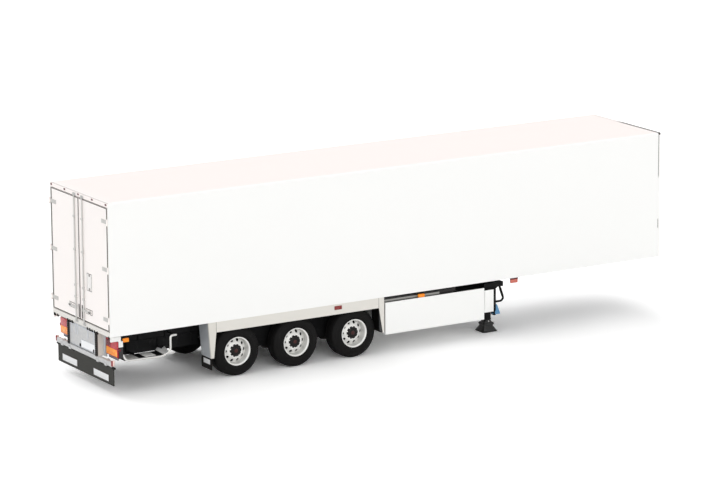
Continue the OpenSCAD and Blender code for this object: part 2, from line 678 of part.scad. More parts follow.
from_rear() side_wall(1);  // left_wall
from_rear() side_wall(-1);  // right_wall
from_rear() roof();
from_rear() front_wall();
from_rear() front_seal();
from_rear() load_floor();
from_rear() rear_header();
from_rear() rear_sill();
from_rear() door_hinges();
from_rear() coupling_panel();
from_rear() coupling_plate();
from_rear() kingpin();
from_rear() chassis_rails();
from_rear() crossmembers();
from_rear() stowage_box();
from_rear() rear_panels();
from_rear() number_plate();
from_rear() bumper_posts();
from_rear() bumper_bar();
from_rear() rear_mudflap();
from_rear() lamp_housings();
from_rear() tail_lamps();
from_rear() marker_arms();
from_rear() side_lamps();
from_rear() skirt_bands();
from_rear() skirt_rear_legs();
from_rear() skirt_front_legs();
from_rear() wheel_liners();
from_rear() wheel_flaps();
from_rear() guard_tubes();
from_rear() steps();
from_rear() pallet_box();
from_rear() pallet_box_doors();
from_rear() pallet_box_rails();
from_rear() tool_boxes();
from_rear() landing_beam();
from_rear() landing_legs();
from_rear() landing_feet();
from_rear() crank_handle();
from_rear() wheel_chock();
from_rear() hangers();
from_rear() trailing_arms();
from_rear() air_springs();
from_rear() axle_beams();
from_rear() door(1);  // left_door
from_rear() door_seal(1);  // left_door_seal
from_rear() door_fittings(1);  // left_door_fittings
from_rear() door(-1);  // right_door
from_rear() door_seal(-1);  // right_door_seal
from_rear() door_fittings(-1);  // right_door_fittings
from_rear() document_holder();
from_rear() axle_shaft(axle_xs[0]);  // rear_shaft
from_rear() rims(axle_xs[0]);  // rear_rims
from_rear() tyres(axle_xs[0]);  // rear_tyres
from_rear() axle_shaft(axle_xs[1]);  // middle_shaft
from_rear() rims(axle_xs[1]);  // middle_rims
from_rear() tyres(axle_xs[1]);  // middle_tyres
from_rear() axle_shaft(axle_xs[2]);  // front_shaft
from_rear() rims(axle_xs[2]);  // front_rims
from_rear() tyres(axle_xs[2]);  // front_tyres
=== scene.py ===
import math

import bmesh
import bpy
from mathutils import Matrix, Vector


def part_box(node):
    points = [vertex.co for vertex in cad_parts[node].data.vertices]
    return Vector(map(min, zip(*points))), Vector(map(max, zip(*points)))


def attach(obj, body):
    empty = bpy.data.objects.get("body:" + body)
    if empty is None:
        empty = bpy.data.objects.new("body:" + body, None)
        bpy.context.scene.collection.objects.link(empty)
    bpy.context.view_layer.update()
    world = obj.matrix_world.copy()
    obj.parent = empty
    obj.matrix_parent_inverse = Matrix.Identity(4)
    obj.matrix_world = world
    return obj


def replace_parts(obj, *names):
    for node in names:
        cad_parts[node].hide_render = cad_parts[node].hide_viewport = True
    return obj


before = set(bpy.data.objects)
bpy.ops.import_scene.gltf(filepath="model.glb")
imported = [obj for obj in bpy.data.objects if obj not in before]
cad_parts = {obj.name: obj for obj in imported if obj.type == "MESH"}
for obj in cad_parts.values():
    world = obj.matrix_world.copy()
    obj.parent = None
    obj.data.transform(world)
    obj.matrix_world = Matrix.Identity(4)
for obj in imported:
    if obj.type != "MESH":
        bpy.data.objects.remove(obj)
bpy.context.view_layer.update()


# ---- Chassis rails, crossmembers and landing beam ----
# Two deep steel beams run forward under the floor, with pressed crossmembers between them.
# The chassis is assembled with small hex bolts and sprayed satin black as one piece.

MM = 0.001
SIDES = (-1, 1)
WHEELS = ("rear", "middle", "front")
AHEAD, BACK, UP, DOWN = [Vector(d) for d in ((1, 0, 0), (-1, 0, 0), (0, 0, 1), (0, 0, -1))]
rear_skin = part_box("left_door")[0][0]


def at(x, y, z):
    """A point x mm ahead of the rear doors' skin, y mm to the left and z mm above the ground."""
    return Vector((rear_skin + x * MM, y * MM, z * MM))


def span(node):
    """A CAD node's lower rear right corner and upper front left one, in the same mm."""
    return [Vector((c[0] - rear_skin, c[1], c[2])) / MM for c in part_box(node)]


class Level:
    """A number that varies over a surface. Sums and products of levels add the Math nodes."""

    def __init__(self, nodes, socket):
        self.nodes, self.socket = nodes, socket

    def maths(self, operation, *values):
        return self.nodes.add("ShaderNodeMath", {"operation": operation}, dict(enumerate(values)))

    def __add__(self, other):
        return self.maths("ADD", self, other)

    def __sub__(self, other):
        return self.maths("SUBTRACT", self, other)

    def __rsub__(self, other):
        return self.maths("SUBTRACT", other, self)

    def __mul__(self, other):
        return self.maths("MULTIPLY", self, other)

    def __truediv__(self, other):
        return self.maths("DIVIDE", self, other)

    def __or__(self, other):
        return self.maths("MAXIMUM", self, other)

    def __abs__(self):
        return self.maths("ABSOLUTE", self)

    def zigzag(self, step):
        """Up from 0 to step and down again, over and over."""
        return self.maths("PINGPONG", self, step)


class Nodes:
    """The node tree of a material or of the sky."""

    def __init__(self, owner):
        owner.use_nodes = True
        self.tree = owner.node_tree

    def put(self, socket, value):
        """Links a level or a node's output to a socket, or sets a plain number or colour on it."""
        if isinstance(value, Level):
            self.tree.links.new(value.socket, socket)
        else:
            socket.default_value = value

    def add(self, kind, settings=None, inputs=None, output=0):
        """Adds a node of any kind: its settings first, then its sockets. Gives one of its outputs."""
        node = self.tree.nodes.new(kind)
        for name, value in (settings or {}).items():
            setattr(node, name, value)
        for name, value in (inputs or {}).items():
            self.put(node.inputs[name], value)
        return Level(self, node.outputs[output])

    def mix(self, factor, first, second):
        """A blend of two colours, each a level or three numbers."""
        ends = [c if isinstance(c, Level) else (*c, 1) for c in (first, second)]
        return self.add("ShaderNodeMix", {"data_type": "RGBA"}, {0: factor, 6: ends[0], 7: ends[1]}, 2)


class Finish(Nodes):
    """One paint, plastic, rubber or metal of the trailer, as a node material."""

    def __init__(self, name, colour, roughness, **constants):
        self.material = bpy.data.materials.new(name)
        super().__init__(self.material)
        self.shader = self.tree.nodes["Principled BSDF"]
        self.colour = self.mixed = colour
        self.raised = None
        self.shader.inputs["Base Color"].default_value = (*colour, 1)
        self.shader.inputs["Roughness"].default_value = roughness
        for socket, value in constants.items():
            self.shader.inputs[socket.replace("_", " ")].default_value = value

    def place(self, stretch=(1, 1, 1), centre=(0, 0, 0)):
        """Object coordinates in metres, from a centre, with each axis stretched."""
        point = self.add("ShaderNodeTexCoord", output="Object")
        for operation, values in (("SUBTRACT", centre), ("MULTIPLY", stretch)):
            point = self.add("ShaderNodeVectorMath", {"operation": operation}, {0: point, 1: Vector(values)})
        return point

    def axis(self, name, centre=(0, 0, 0)):
        """One object coordinate in mm, from a centre."""
        place = self.place((1 / MM, 1 / MM, 1 / MM), centre)
        return self.add("ShaderNodeSeparateXYZ", inputs={0: place}, output=name)

    def noise(self, scale, detail=3, stretch=(1, 1, 1)):
        """Cloudy noise from 0 to 1, with about scale blotches a metre."""
        inputs = {"Vector": self.place(stretch), "Scale": scale, "Detail": detail, "Roughness": 0.6}
        return self.add("ShaderNodeTexNoise", inputs=inputs)

    def fade(self, level, low, high):
        """A level turned into 0 below low and 1 above high, smooth between them."""
        inputs = {"Value": level, "From Min": low, "From Max": high}
        return self.add("ShaderNodeMapRange", {"interpolation_type": "SMOOTHSTEP"}, inputs)

    def tint(self, factor, shade):
        """Blends another colour in by a factor from 0 to 1, over what is there already."""
        self.mixed = self.mix(factor, self.mixed, shade)
        self.put(self.shader.inputs["Base Color"], self.mixed)
        return self

    def sheen(self, level, low, high):
        """Roughness that runs from low to high with a level."""
        self.put(self.shader.inputs["Roughness"], level * (high - low) + low)
        return self

    def relief(self, height, depth):
        """Raises the surface by a height from 0 to 1, depth mm high at 1."""
        inputs = {"Height": height, "Strength": 1.0, "Distance": depth * MM}
        if self.raised:
            inputs["Normal"] = self.raised
        self.raised = self.add("ShaderNodeBump", inputs=inputs)
        self.put(self.shader.inputs["Normal"], self.raised)
        return self

    def worn(self, cloud, low, high, grain, depth, detail=3, fine=2):
        """Roughness from low to high in clouds, and a fine grain depth mm deep."""
        return self.sheen(self.noise(cloud, detail), low, high).relief(self.noise(grain, fine), depth)

    def stained_or_lit(self, cloud, low, high, amount, shade, detail=3):
        """Another colour in clouds, for stains and for painted highlights: where the clouds are above low, at its
        full amount above high.
        """
        return self.tint(self.fade(self.noise(cloud, detail), low, high) * amount, shade)

    def ridged(self, name, step, depth):
        """Ridges across an axis, step mm from foot to top along it and depth mm high."""
        return self.relief(self.axis(name).zigzag(step) / step, depth)


def shade(red, green, blue):
    """A colour as a screen writes it, 0 to 255, turned into the linear numbers that a shader takes."""
    return tuple(c / 255 / 12.92 if c < 10.3 else ((c / 255 + 0.055) / 1.055) ** 2.4 for c in (red, green, blue))


def coat(finish, *nodes):
    """Gives CAD nodes a finish."""
    for node in nodes:
        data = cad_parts[node].data
        data.materials.clear()
        data.materials.append(finish.material)


def block(bm, first, second, edge=0.0, segments=2):
    """A block between two opposite corners in mm, with its edges rounded by edge mm."""
    low, high = at(*map(min, first, second)), at(*map(max, first, second))
    corners = bmesh.ops.create_cube(bm, size=1)["verts"]
    bmesh.ops.scale(bm, vec=high - low, verts=corners)
    bmesh.ops.translate(bm, vec=(low + high) / 2, verts=corners)
    if edge:
        edges = list({e for v in corners for e in v.link_edges})
        bmesh.ops.bevel(bm, geom=edges, offset=edge * MM, segments=segments, affect="EDGES", profile=0.5,
                        material=-1, clamp_overlap=True)


def pair(bm, first, second, edge=0.0, segments=2):
    """The same block on both sides of the trailer, with its corners given for the left side."""
    for side in SIDES:
        corners = [(x, side * y, z) for x, y, z in (first, second)]
        block(bm, *corners, edge, segments)


def rod(bm, start, end, radius, sides=20, tip=None):
    """A round bar, or a nut with few sides, from start to end. Its radius ends at tip if that is given."""
    start, end = at(*start), at(*end)
    along = end - start
    tip = radius if tip is None else tip
    made = bmesh.ops.create_cone(bm, cap_ends=True, segments=sides, radius1=radius * MM, radius2=tip * MM,
                                 depth=along.length)["verts"]
    turn = along.to_track_quat("Z", "Y").to_matrix().to_4x4()
    bmesh.ops.transform(bm, matrix=Matrix.Translation((start + end) / 2) @ turn, verts=made)


def bolt(bm, foot, direction, radius=0.22, height=0.14):
    """A hex bolt head with a chamfered top, standing on foot and pointing along a direction."""
    foot, direction = Vector(foot), Vector(direction)
    neck = foot + direction * height * 0.7
    rod(bm, foot - direction * 0.05, neck, radius, 6)
    rod(bm, neck, foot + direction * height, radius, 6, radius * 0.8)


def ring(count, radius, start):
    """Evenly spaced (x, y) points round a circle in mm, the first start degrees round."""
    turns = [math.radians(start + 360 / count * i) for i in range(count)]
    return [(math.cos(turn) * radius, math.sin(turn) * radius) for turn in turns]


def piece(name, bm, finish, body="trailer", sharp=35):
    """Makes a finished mesh into a piece that rides on a body, smooth except over sharp edges."""
    bmesh.ops.recalc_face_normals(bm, faces=bm.faces)
    mesh = bpy.data.meshes.new(name)
    bm.to_mesh(mesh)
    bm.free()
    mesh.materials.append(finish.material)
    mesh.shade_smooth()
    mesh.set_sharp_from_angle(angle=math.radians(sharp))
    made = bpy.data.objects.new(name, mesh)
    bpy.context.scene.collection.objects.link(made)
    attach(made, body)
    return made


datum = at(0, 0, 0)
chassis_black = Finish("satin black chassis paint", shade(11, 11, 12), 0.45, Specular_IOR_Level=0.12)
chassis_black.worn(260, 0.34, 0.6, 5200, 0.008, detail=4)
chassis_black.stained_or_lit(260, 0.55, 0.85, 0.3, shade(26, 24, 22), detail=4)
coat(chassis_black, "chassis_rails", "crossmembers", "landing_beam", "coupling_plate", "hangers", "trailing_arms",
     "axle_beams", "landing_legs", "stowage_box")

rail_low, rail_high = span("chassis_rails")
rail_out, rail_foot, rail_head = rail_high.y, rail_low.z, rail_high.z
rail_mid = rail_out - 0.6
axles = [(low.x + high.x) / 2 for low, high in (span(wheel + "_shaft") for wheel in WHEELS)]
flange_from, flange_to = rail_low.x + 9, axles[2] + 8.5

# Flanges along the foot of each rail, and stiffening ribs
flanges = bmesh.new()
pair(flanges, (flange_from, rail_mid - 1.1, rail_foot - 0.22), (flange_to, rail_mid + 1.1, rail_foot), 0.05)
for i in range(9):
    x = flange_from + 4 + i * 12.4
    pair(flanges, (x, rail_mid - 1.05, rail_foot - 0.1), (x + 0.3, rail_mid + 1.05, rail_head - 1.1), 0.05)
piece("rail_flanges", flanges, chassis_black)

# Bolts of the crossmembers and hangers, and a ring of bolts round the kingpin
frame_bolts = bmesh.new()
for side in SIDES:
    for i in range(10):
        for below_head in (1.6, 0.7):
            bolt(frame_bolts, (17.5 + i * 18, side * rail_out, rail_head - below_head), (0, side, 0), 0.18, 0.12)
    for x in axles:
        for dx in (8.8, 10.2, 11.6):
            for dz in (1, 2.2):
                bolt(frame_bolts, (x + dx, side * rail_out, rail_foot + dz), (0, side, 0), 0.2, 0.14)
pin_low, pin_high = span("kingpin")
for dx, y in ring(8, 3.2, 22.5):
    foot = ((pin_low.x + pin_high.x) / 2 + dx, y, span("coupling_plate")[0].z)
    bolt(frame_bolts, foot, DOWN, 0.3, 0.2)
piece("frame_bolts", frame_bolts, chassis_black)


# ---- Stowage box ----
# A closed black box between the rails behind the wheels, folded from sheet, with a lid flap below.
# Pressed ribs stiffen its sides and two straps hold it up.

stow_low, stow_high = span("stowage_box")
stow_trim = bmesh.new()
for i in range(6):
    x = stow_low.x + 2.5 + i * 6.4
    pair(stow_trim, (x, stow_high.y - 0.05, stow_low.z + 1.2), (x + 1.2, stow_high.y + 0.09, stow_high.z - 5), 0.04)
for x in (stow_low.x + 6, stow_high.x - 8):
    block(stow_trim, (x, stow_low.y + 0.2, stow_low.z - 0.18), (x + 1.8, stow_high.y - 0.2, stow_low.z + 0.05), 0.05)
    for y in (-10, -5, 0, 5, 10):
        bolt(stow_trim, (x + 0.9, y, stow_low.z - 0.18), DOWN, 0.24)
piece("stowage_trim", stow_trim, chassis_black)


# ---- Load floor ----
# Extruded alloy planks with narrow T-shaped ribs, which let cold air pass under the load.
# The planks lie lengthways, with painted shade darkening the grooves between their raised ribs.

floor_alloy = Finish("ribbed alloy floor", shade(208, 209, 210), 0.5, Metallic=0.3)
rib_top = floor_alloy.fade(floor_alloy.axis("Y").zigzag(0.45), 0.12, 0.2)
floor_alloy.relief(rib_top, 0.22)
# Painted shade: the grooves between the ribs are tinted darker
floor_alloy.tint((1 - rib_top) * 0.55, shade(128, 130, 132))
floor_alloy.sheen(floor_alloy.noise(900, 4, (0.05, 1, 1)), 0.4, 0.6)
floor_alloy.relief(floor_alloy.noise(6000, 2, (0.04, 1, 1)), 0.01)
coat(floor_alloy, "load_floor")


# ---- Body side walls, roof and front wall ----
# Foam-filled panels with a smooth white gel-coated skin, bonded edge to edge.
# The skins are very slightly wavy, which only shows in the way that they shine.


def wavy(finish, waves, low, high, depth):
    """A panel's skin: waves depth mm high that also carry the sheen, under a very fine grain."""
    return finish.sheen(waves, low, high).relief(waves, depth).relief(finish.noise(2600, 2), 0.004)


skin_white = Finish("white gel-coat skin", shade(250, 250, 248), 0.3, Coat_Weight=0.25, Coat_Roughness=0.12)
wavy(skin_white, skin_white.noise(34, 2, (1, 1, 1.6)), 0.26, 0.4, 0.05)
coat(skin_white, "left_wall", "right_wall")
side_y = span("left_wall")[1].y

# The roof has the sides' gel-coat, tinted warmer and slightly darker as painted light
skin_in_warm_light = Finish("gel-coat skin in painted warm light", shade(251, 243, 240), 0.5, Specular_IOR_Level=0)
wavy(skin_in_warm_light, skin_in_warm_light.noise(30, 2), 0.45, 0.6, 0.05)
coat(skin_in_warm_light, "roof")


def trim_white(name):
    """The gel-coat skin for a cap across the body, in the roof's warm tint of painted light, turning pure white where
    it meets the side walls.
    """
    finish = Finish(name, skin_in_warm_light.colour, 0.34, Coat_Weight=0.2, Coat_Roughness=0.15)
    finish.tint(finish.fade(abs(finish.axis("Y")), side_y - 0.2, side_y - 0.05), skin_white.colour)
    return finish.worn(30, 0.28, 0.44, 2600, 0.004, detail=2)


# The front wall's top edge is darkened as painted shade along the joint, running out towards the left
front_white = trim_white("front skin in painted warm light")
top_edge = front_white.fade(front_white.axis("Z"), 79.15, 79.3)
run_out = front_white.fade(front_white.axis("Y"), 1.0, 9.0)
front_white.tint(top_edge * (1 - run_out), shade(58, 54, 50))
coat(front_white, "front_wall")

# Alloy kick plates along the foot of the walls inside, and slotted lashing rails half way up
lining = Finish("brushed alloy lining", shade(190, 192, 194), 0.35, Metallic=0.8)
lining.sheen(lining.noise(3000, 3, (0.03, 1, 1)), 0.25, 0.5)
lining.relief(lining.noise(5000, 2, (0.03, 1, 1)), 0.008)
wall_low, wall_high = span("right_wall")
inside_y = abs(wall_high.y)
floor_high = span("load_floor")[1]
rail_z = floor_high.z + 24
kick_plates = bmesh.new()
for z, tall in ((floor_high.z, 5.2), (rail_z, 1.0)):
    pair(kick_plates, (5.2, inside_y - 0.16, z + 0.02), (floor_high.x - 0.3, inside_y + 0.05, z + tall), 0.05)
for i in range(80):
    x = 8 + i * 3.3
    pair(kick_plates, (x, inside_y - 0.22, rail_z + 0.3), (x + 1.5, inside_y + 0.05, rail_z + 0.7))
piece("kick_plates", kick_plates, lining)


# ---- Front seal ----
# A thin gasket closes the joint between the body shell and the front wall. Its dark colour is partly the joint's own
# and partly painted shade of the edge, along the roof's edge, the upper third of each side and one short mark lower
# down; elsewhere it takes the skin's white.

gasket = Finish("gasket with painted shade", shade(70, 66, 62), 0.6)
height = gasket.axis("Z")
joint_shade = gasket.fade(height, 59.5, 61.5)
mark = gasket.fade(height, 37.1, 38.1) * (1 - gasket.fade(height, 41.1, 42.1))
gasket.tint(1 - (joint_shade | mark), skin_white.colour).worn(1500, 0.5, 0.75, 4000, 0.01, detail=2)
coat(gasket, "front_seal")


# ---- Coupling panel ----
# Air and electric couplings in a pocket at the foot of the front wall: two palm couplings with
# their red and yellow covers, and two round sockets with hinged lids on a black moulded panel.

black_plastic = Finish("matt black moulding", shade(10, 10, 11), 0.6, Specular_IOR_Level=0.12)
black_plastic.worn(3400, 0.5, 0.75, 3400, 0.012, fine=3)
coat(black_plastic, "wheel_liners")

panel_low, panel_high = span("coupling_panel")
face, mid_z = panel_low.x + 0.3, (panel_low.z + panel_high.z) / 2
for name, y, colour in (("red", 6, shade(150, 24, 20)), ("yellow", -6, shade(214, 164, 22))):
    palm_finish = Finish(name + " palm coupling", colour, 0.4).worn(2500, 0.3, 0.5, 5000, 0.01)
    palm = bmesh.new()
    rod(palm, (face + 0.2, y, mid_z), (face + 0.58, y, mid_z), 0.95, 24, 0.8)
    block(palm, (face + 0.1, y - 1.4, mid_z - 0.35), (face + 0.45, y + 1.4, mid_z + 0.35), 0.12)
    piece(name + "_palm_coupling", palm, palm_finish)
sockets = bmesh.new()
block(sockets, panel_low, (face, panel_high.y, panel_high.z), 0.1)
for y in (2, -2):
    rod(sockets, (face - 0.1, y, mid_z), (face + 0.58, y, mid_z), 1.0, 28, 0.85)
    block(sockets, (face, y - 0.4, mid_z + 0.9), (face + 0.5, y + 0.4, mid_z + 1.4), 0.1)
for y in (-7.9, 7.9):
    for dz in (-1.7, 1.7):
        bolt(sockets, (face, y, mid_z + dz), AHEAD, 0.2, 0.14)
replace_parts(piece("socket_panel", sockets, black_plastic), "coupling_panel")


# ---- Kingpin ----
# A forged and ground steel pin, welded into the coupling plate under the front of the body.
# Its sides are polished by the fifth wheel's jaws.

pin_steel = Finish("ground steel", shade(176, 176, 180), 0.3, Metallic=1.0)
pin_steel.sheen(pin_steel.noise(2200, 3, (1, 1, 9)), 0.18, 0.4)
pin_steel.relief(pin_steel.noise(3000, 2, (1, 1, 12)), 0.006)
coat(pin_steel, "kingpin", "rear_shaft", "middle_shaft", "front_shaft")


# ---- Rear frame: header, sill and small header lamps ----
# A pressed grey sill below the doors and a white header above them. Five small red marker lamps sit
# on the header, each in a pale base, and rubber buffers and bolts hang under the sill.

galvanised = Finish("dull galvanised sheet", shade(196, 196, 196), 0.5, Metallic=0.25)
spangle = galvanised.add("ShaderNodeTexVoronoi", inputs={"Vector": galvanised.place(), "Scale": 900.0})
galvanised.tint(galvanised.fade(spangle, 0.2, 0.8) * 0.35, shade(172, 174, 176)).worn(800, 0.42, 0.62, 3600, 0.01)
coat(galvanised, "bumper_bar", "rear_panels")
sill_grey = Finish("pale painted sill", shade(226, 223, 218), 0.45).worn(800, 0.38, 0.56, 3600, 0.01)
coat(sill_grey, "rear_sill")

sill_foot, sill_head = [corner.z for corner in span("rear_sill")]
header_foot, body_top = [corner.z for corner in span("rear_header")]

red_lens = Finish("clear red lens", shade(196, 40, 52), 0.14, Coat_Weight=0.3, Specular_IOR_Level=0.3)
red_lens.ridged("Z", 0.2, 0.05).stained_or_lit(700, 0.4, 0.7, 0.6, shade(150, 20, 34), detail=2)

header_white = trim_white("header skin in painted warm light")
# A pale grey band along the top of the header's rear face
top_grey_band = header_white.fade(header_white.axis("Z"), body_top - 0.34, body_top - 0.26)
on_rear = 1 - header_white.fade(header_white.axis("X", datum), 0.3, 0.4)
header_white.tint(top_grey_band * on_rear * 0.8, shade(208, 203, 198))
coat(header_white, "rear_header")

dark_red = Finish("dark red lens", shade(84, 18, 28), 0.2, Coat_Weight=0.3, Specular_IOR_Level=0.3)
dark_red.worn(900, 0.14, 0.3, 2500, 0.02, detail=2)
header_lamps = bmesh.new()
lamp_bases = bmesh.new()
for y in (-24.4, -12.3, 0, 12.3, 24.4):
    z = body_top - 0.85
    block(lamp_bases, (-0.09, y - 0.92, z - 0.52), (0.1, y + 0.92, z + 0.52), 0.06)
    block(header_lamps, (-0.3, y - 0.64, z - 0.38), (0, y + 0.64, z + 0.38), 0.14, 3)
piece("header_lamps", header_lamps, dark_red)
piece("header_lamp_bases", lamp_bases, skin_in_warm_light)

# Keepers that take the lock rods' cams, and the buffers and brackets under the sill
keepers = bmesh.new()
for z in (header_foot + 0.15, sill_head - 1.5):
    for y in (2.6, 4.05):
        pair(keepers, (-0.55, y, z), (0.05, y + 0.35, z + 1.1), 0.05)
piece("lock_keepers", keepers, galvanised)

rubber = Finish("matt black rubber", shade(20, 18, 17), 0.72, Specular_IOR_Level=0.14)
rubber.worn(2400, 0.62, 0.85, 2400, 0.02, fine=3)
coat(rubber, "left_door_seal", "right_door_seal", "wheel_flaps")
post_finish = Finish("pale post with rubber face", shade(212, 207, 200), 0.5)
behind = post_finish.fade(post_finish.axis("X", datum), 0.7, 0.85)
post_finish.tint(1 - behind, rubber.colour).worn(2400, 0.45, 0.8, 2400, 0.01, fine=3)
coat(post_finish, "bumper_posts")

sill_brackets = bmesh.new()
for y, wide in ((24.2, 1.7), (21.4, 0.8), (12.2, 0.8), (10.2, 0.7), (8.2, 1.0), (-5.4, 0.8), (-7.6, 0.9),
                (-9.7, 0.6), (-11.9, 0.8), (-14.3, 0.9), (-24.6, 0.8)):
    block(sill_brackets, (-0.16, y - wide / 2, sill_foot - 0.85), (0.35, y + wide / 2, sill_foot + 0.35), 0.1)
    rod(sill_brackets, (-0.2, y, sill_foot - 0.35), (0.1, y, sill_foot - 0.35), 0.26, 12, 0.3)
piece("sill_buffers", sill_brackets, rubber)


# ---- Rear doors ----
# Two foam-filled leaves with the same gel-coat skin in the roof's warm tint of painted light, each with a rubber lip
# round its edge.
# They hang on three strap hinges a side, and the lock rod turns its cams into the header and the sill.

# The doors' warmer tint of the gel-coat is painted light
door_skin_in_warm_light = Finish("door skin in painted warm light", shade(250, 244, 241), 0.34, Coat_Weight=0.2, Coat_Roughness=0.15)
wavy(door_skin_in_warm_light, door_skin_in_warm_light.noise(60, 2), 0.28, 0.44, 0.04)
coat(door_skin_in_warm_light, "left_door", "right_door", "door_hinges")

fittings = Finish("pale grey zinc plate", shade(198, 197, 194), 0.45, Metallic=0.1)
fittings.worn(1800, 0.35, 0.58, 4200, 0.008).stained_or_lit(1800, 0.35, 0.75, 0.3, shade(180, 179, 176))
door_fittings = Finish("zinc plate with white lugs", fittings.colour, 0.45, Metallic=0.1)
lugs = door_fittings.fade(abs(door_fittings.axis("Y")), 25.2, 25.3)
door_fittings.worn(1800, 0.35, 0.58, 4200, 0.008).tint(lugs, door_skin_in_warm_light.colour)
coat(door_fittings, "left_door_fittings", "right_door_fittings")
dark_trim = Finish("dark grey trim", shade(54, 49, 47), 0.5, Specular_IOR_Level=0.2)
dark_trim.worn(1800, 0.4, 0.62, 4200, 0.01)

door_low, door_high = span("left_door")
door_foot, door_head, door_edge = door_low.z, door_high.z, door_high.y
hinge_zs = (door_foot + 4.6, (door_foot + door_head) / 2, door_head - 5.6)
handle_z = hinge_zs[0]
guide_zs = (hinge_zs[0] + 4.45, hinge_zs[1] - 11.55, hinge_zs[1] + 3.45, hinge_zs[2] - 2.55)
rod_y = 3.5

for door, side in (("left_door", 1), ("right_door", -1)):
    # Bolts of the hinge straps, and the rod's guides
    door_bolts = bmesh.new()
    for z in hinge_zs:
        for inward in (1.0, 2.6, 4.1):
            for dz in (-0.42, 0.42):
                bolt(door_bolts, (-0.28, side * (door_edge - inward), z + dz), BACK, 0.17, 0.11)
    piece(door + "_bolts", door_bolts, fittings, door)
    guides = bmesh.new()
    for z in guide_zs:
        block(guides, (-0.12, side * (rod_y - 1.15), z - 0.35), (0.02, side * (rod_y + 1.15), z + 0.35), 0.04)
        for dy in (-0.85, 0.85):
            bolt(guides, (-0.12, side * (rod_y + dy), z), BACK, 0.14, 0.1)
    piece(door + "_guides", guides, door_skin_in_warm_light, door)

    # A pale plate with a dark rim behind the handle's catch, and the handle's dark grip
    catch_rim = bmesh.new()
    block(catch_rim, (-0.07, side * 4.9, handle_z - 1.1), (0.02, side * 10.3, handle_z + 1.1), 0.03)
    block(catch_rim, (-0.8, side * 8.0, handle_z - 0.3), (-0.55, side * 9.7, handle_z + 0.3), 0.1)
    piece(door + "_catch_rim", catch_rim, dark_trim, door)
    catch_plate = bmesh.new()
    block(catch_plate, (-0.12, side * 5.1, handle_z - 0.9), (-0.02, side * 10.1, handle_z + 0.9), 0.03)
    piece(door + "_catch_plate", catch_plate, door_skin_in_warm_light, door)

    # Lip seal round the leaf, wider on its outer edge, and a dark handle by the meeting edge
    lip = bmesh.new()
    lip_y, lip_foot, lip_head = side * (door_edge - 0.02), door_foot + 0.02, door_head - 0.02
    block(lip, (-0.05, side * 0.3, lip_head - 0.25), (0.03, lip_y, lip_head), 0.03)
    block(lip, (-0.05, side * 0.3, lip_foot), (0.03, lip_y, lip_foot + 0.28), 0.03)
    block(lip, (-0.05, side * (door_edge - 0.72), lip_foot + 0.08), (0.03, lip_y, lip_head - 0.08), 0.03)
    if side > 0:
        block(lip, (-0.08, 0.28, lip_foot + 0.08), (0.02, 0.75, lip_head - 0.08), 0.04)
    block(lip, (-0.2, side * 1.2, door_foot + 0.6), (0.02, side * 1.75, door_foot + 6.2), 0.06)
    piece(door + "_lip", lip, dark_trim, door)


def border(bm, low, high, wide, back, front, edge):
    """Four strips round the inside of a plate's edge, on a plate that faces the rear."""
    for first, second in (((low.y, low.z), (high.y, low.z + wide)), ((low.y, high.z - wide), (high.y, high.z)),
                          ((low.y, low.z), (low.y + wide, high.z)), ((high.y - wide, low.z), (high.y, high.z))):
        block(bm, (low.x - back, *first), (low.x + front, *second), edge)


holder_white = Finish("white moulded holder", shade(240, 238, 236), 0.45)
holder_white.worn(1500, 0.4, 0.55, 4200, 0.008, detail=2)
coat(holder_white, "document_holder")
holder_low, holder_high = span("document_holder")
holder_trim = bmesh.new()
border(holder_trim, holder_low, holder_high, 0.28, 0.05, 0.1, 0.04)
mid_y = (holder_low.y + holder_high.y) / 2
for z in (holder_low.z + 0.3, holder_high.z - 1.3):
    block(holder_trim, (holder_low.x - 0.1, mid_y - 0.5, z), (holder_low.x + 0.12, mid_y + 0.5, z + 1), 0.1)
rim_grey = Finish("grey moulded rim", shade(150, 147, 145), 0.5).worn(1500, 0.42, 0.6, 4200, 0.008, detail=2)
piece("document_holder_rim", holder_trim, rim_grey, "right_door")


# ---- Plate panel, number plate and rubber posts ----
# A painted panel across the back of the chassis, with a folded plate holder between two rubber posts.
# The white number plate is blank and is held by two dark clips.

panel_grey = Finish("pale blue-grey painted sheet", shade(196, 200, 206), 0.42)
panel_grey.worn(900, 0.34, 0.54, 3600, 0.008).stained_or_lit(260, 0.45, 0.8, 0.4, shade(180, 184, 190))
panel_trim = bmesh.new()
for y in (-9.9, -4.6, 4.6, 6.4, 9.9):
    block(panel_trim, (0.48, y - 0.3, 19.4), (0.66, y + 0.3, 24.1), 0.06)
block(panel_trim, (0.42, -11.6, 23.0), (0.66, 11.6, 23.5), 0.08)
block(panel_trim, (0.42, -11.6, 14.55), (0.66, 11.6, 14.85), 0.06)
for y in (14.3, 14.9):
    pair(panel_trim, (2.95, y, 15), (3.25, y + 0.3, 24), 0.06)
piece("plate_panel_ribs", panel_trim, panel_grey)

plate_white = Finish("blank white plate", shade(238, 239, 241), 0.3, Coat_Weight=0.4, Coat_Roughness=0.1)
plate_white.worn(1200, 0.24, 0.38, 7000, 0.004, detail=2, fine=1)
coat(plate_white, "number_plate")
number_low, number_high = span("number_plate")
plate_rim = bmesh.new()
border(plate_rim, number_low, number_high, 0.18, 0.06, 0.05, 0.03)
piece("plate_rim", plate_rim, panel_grey)
plate_clips = bmesh.new()
for y in (number_low.y + 1.1, number_high.y + 0.9):
    block(plate_clips, (0.15, y - 0.4, number_low.z - 0.1), (0.62, y + 0.4, number_low.z + 1.2), 0.12)
piece("plate_clips", plate_clips, rubber)

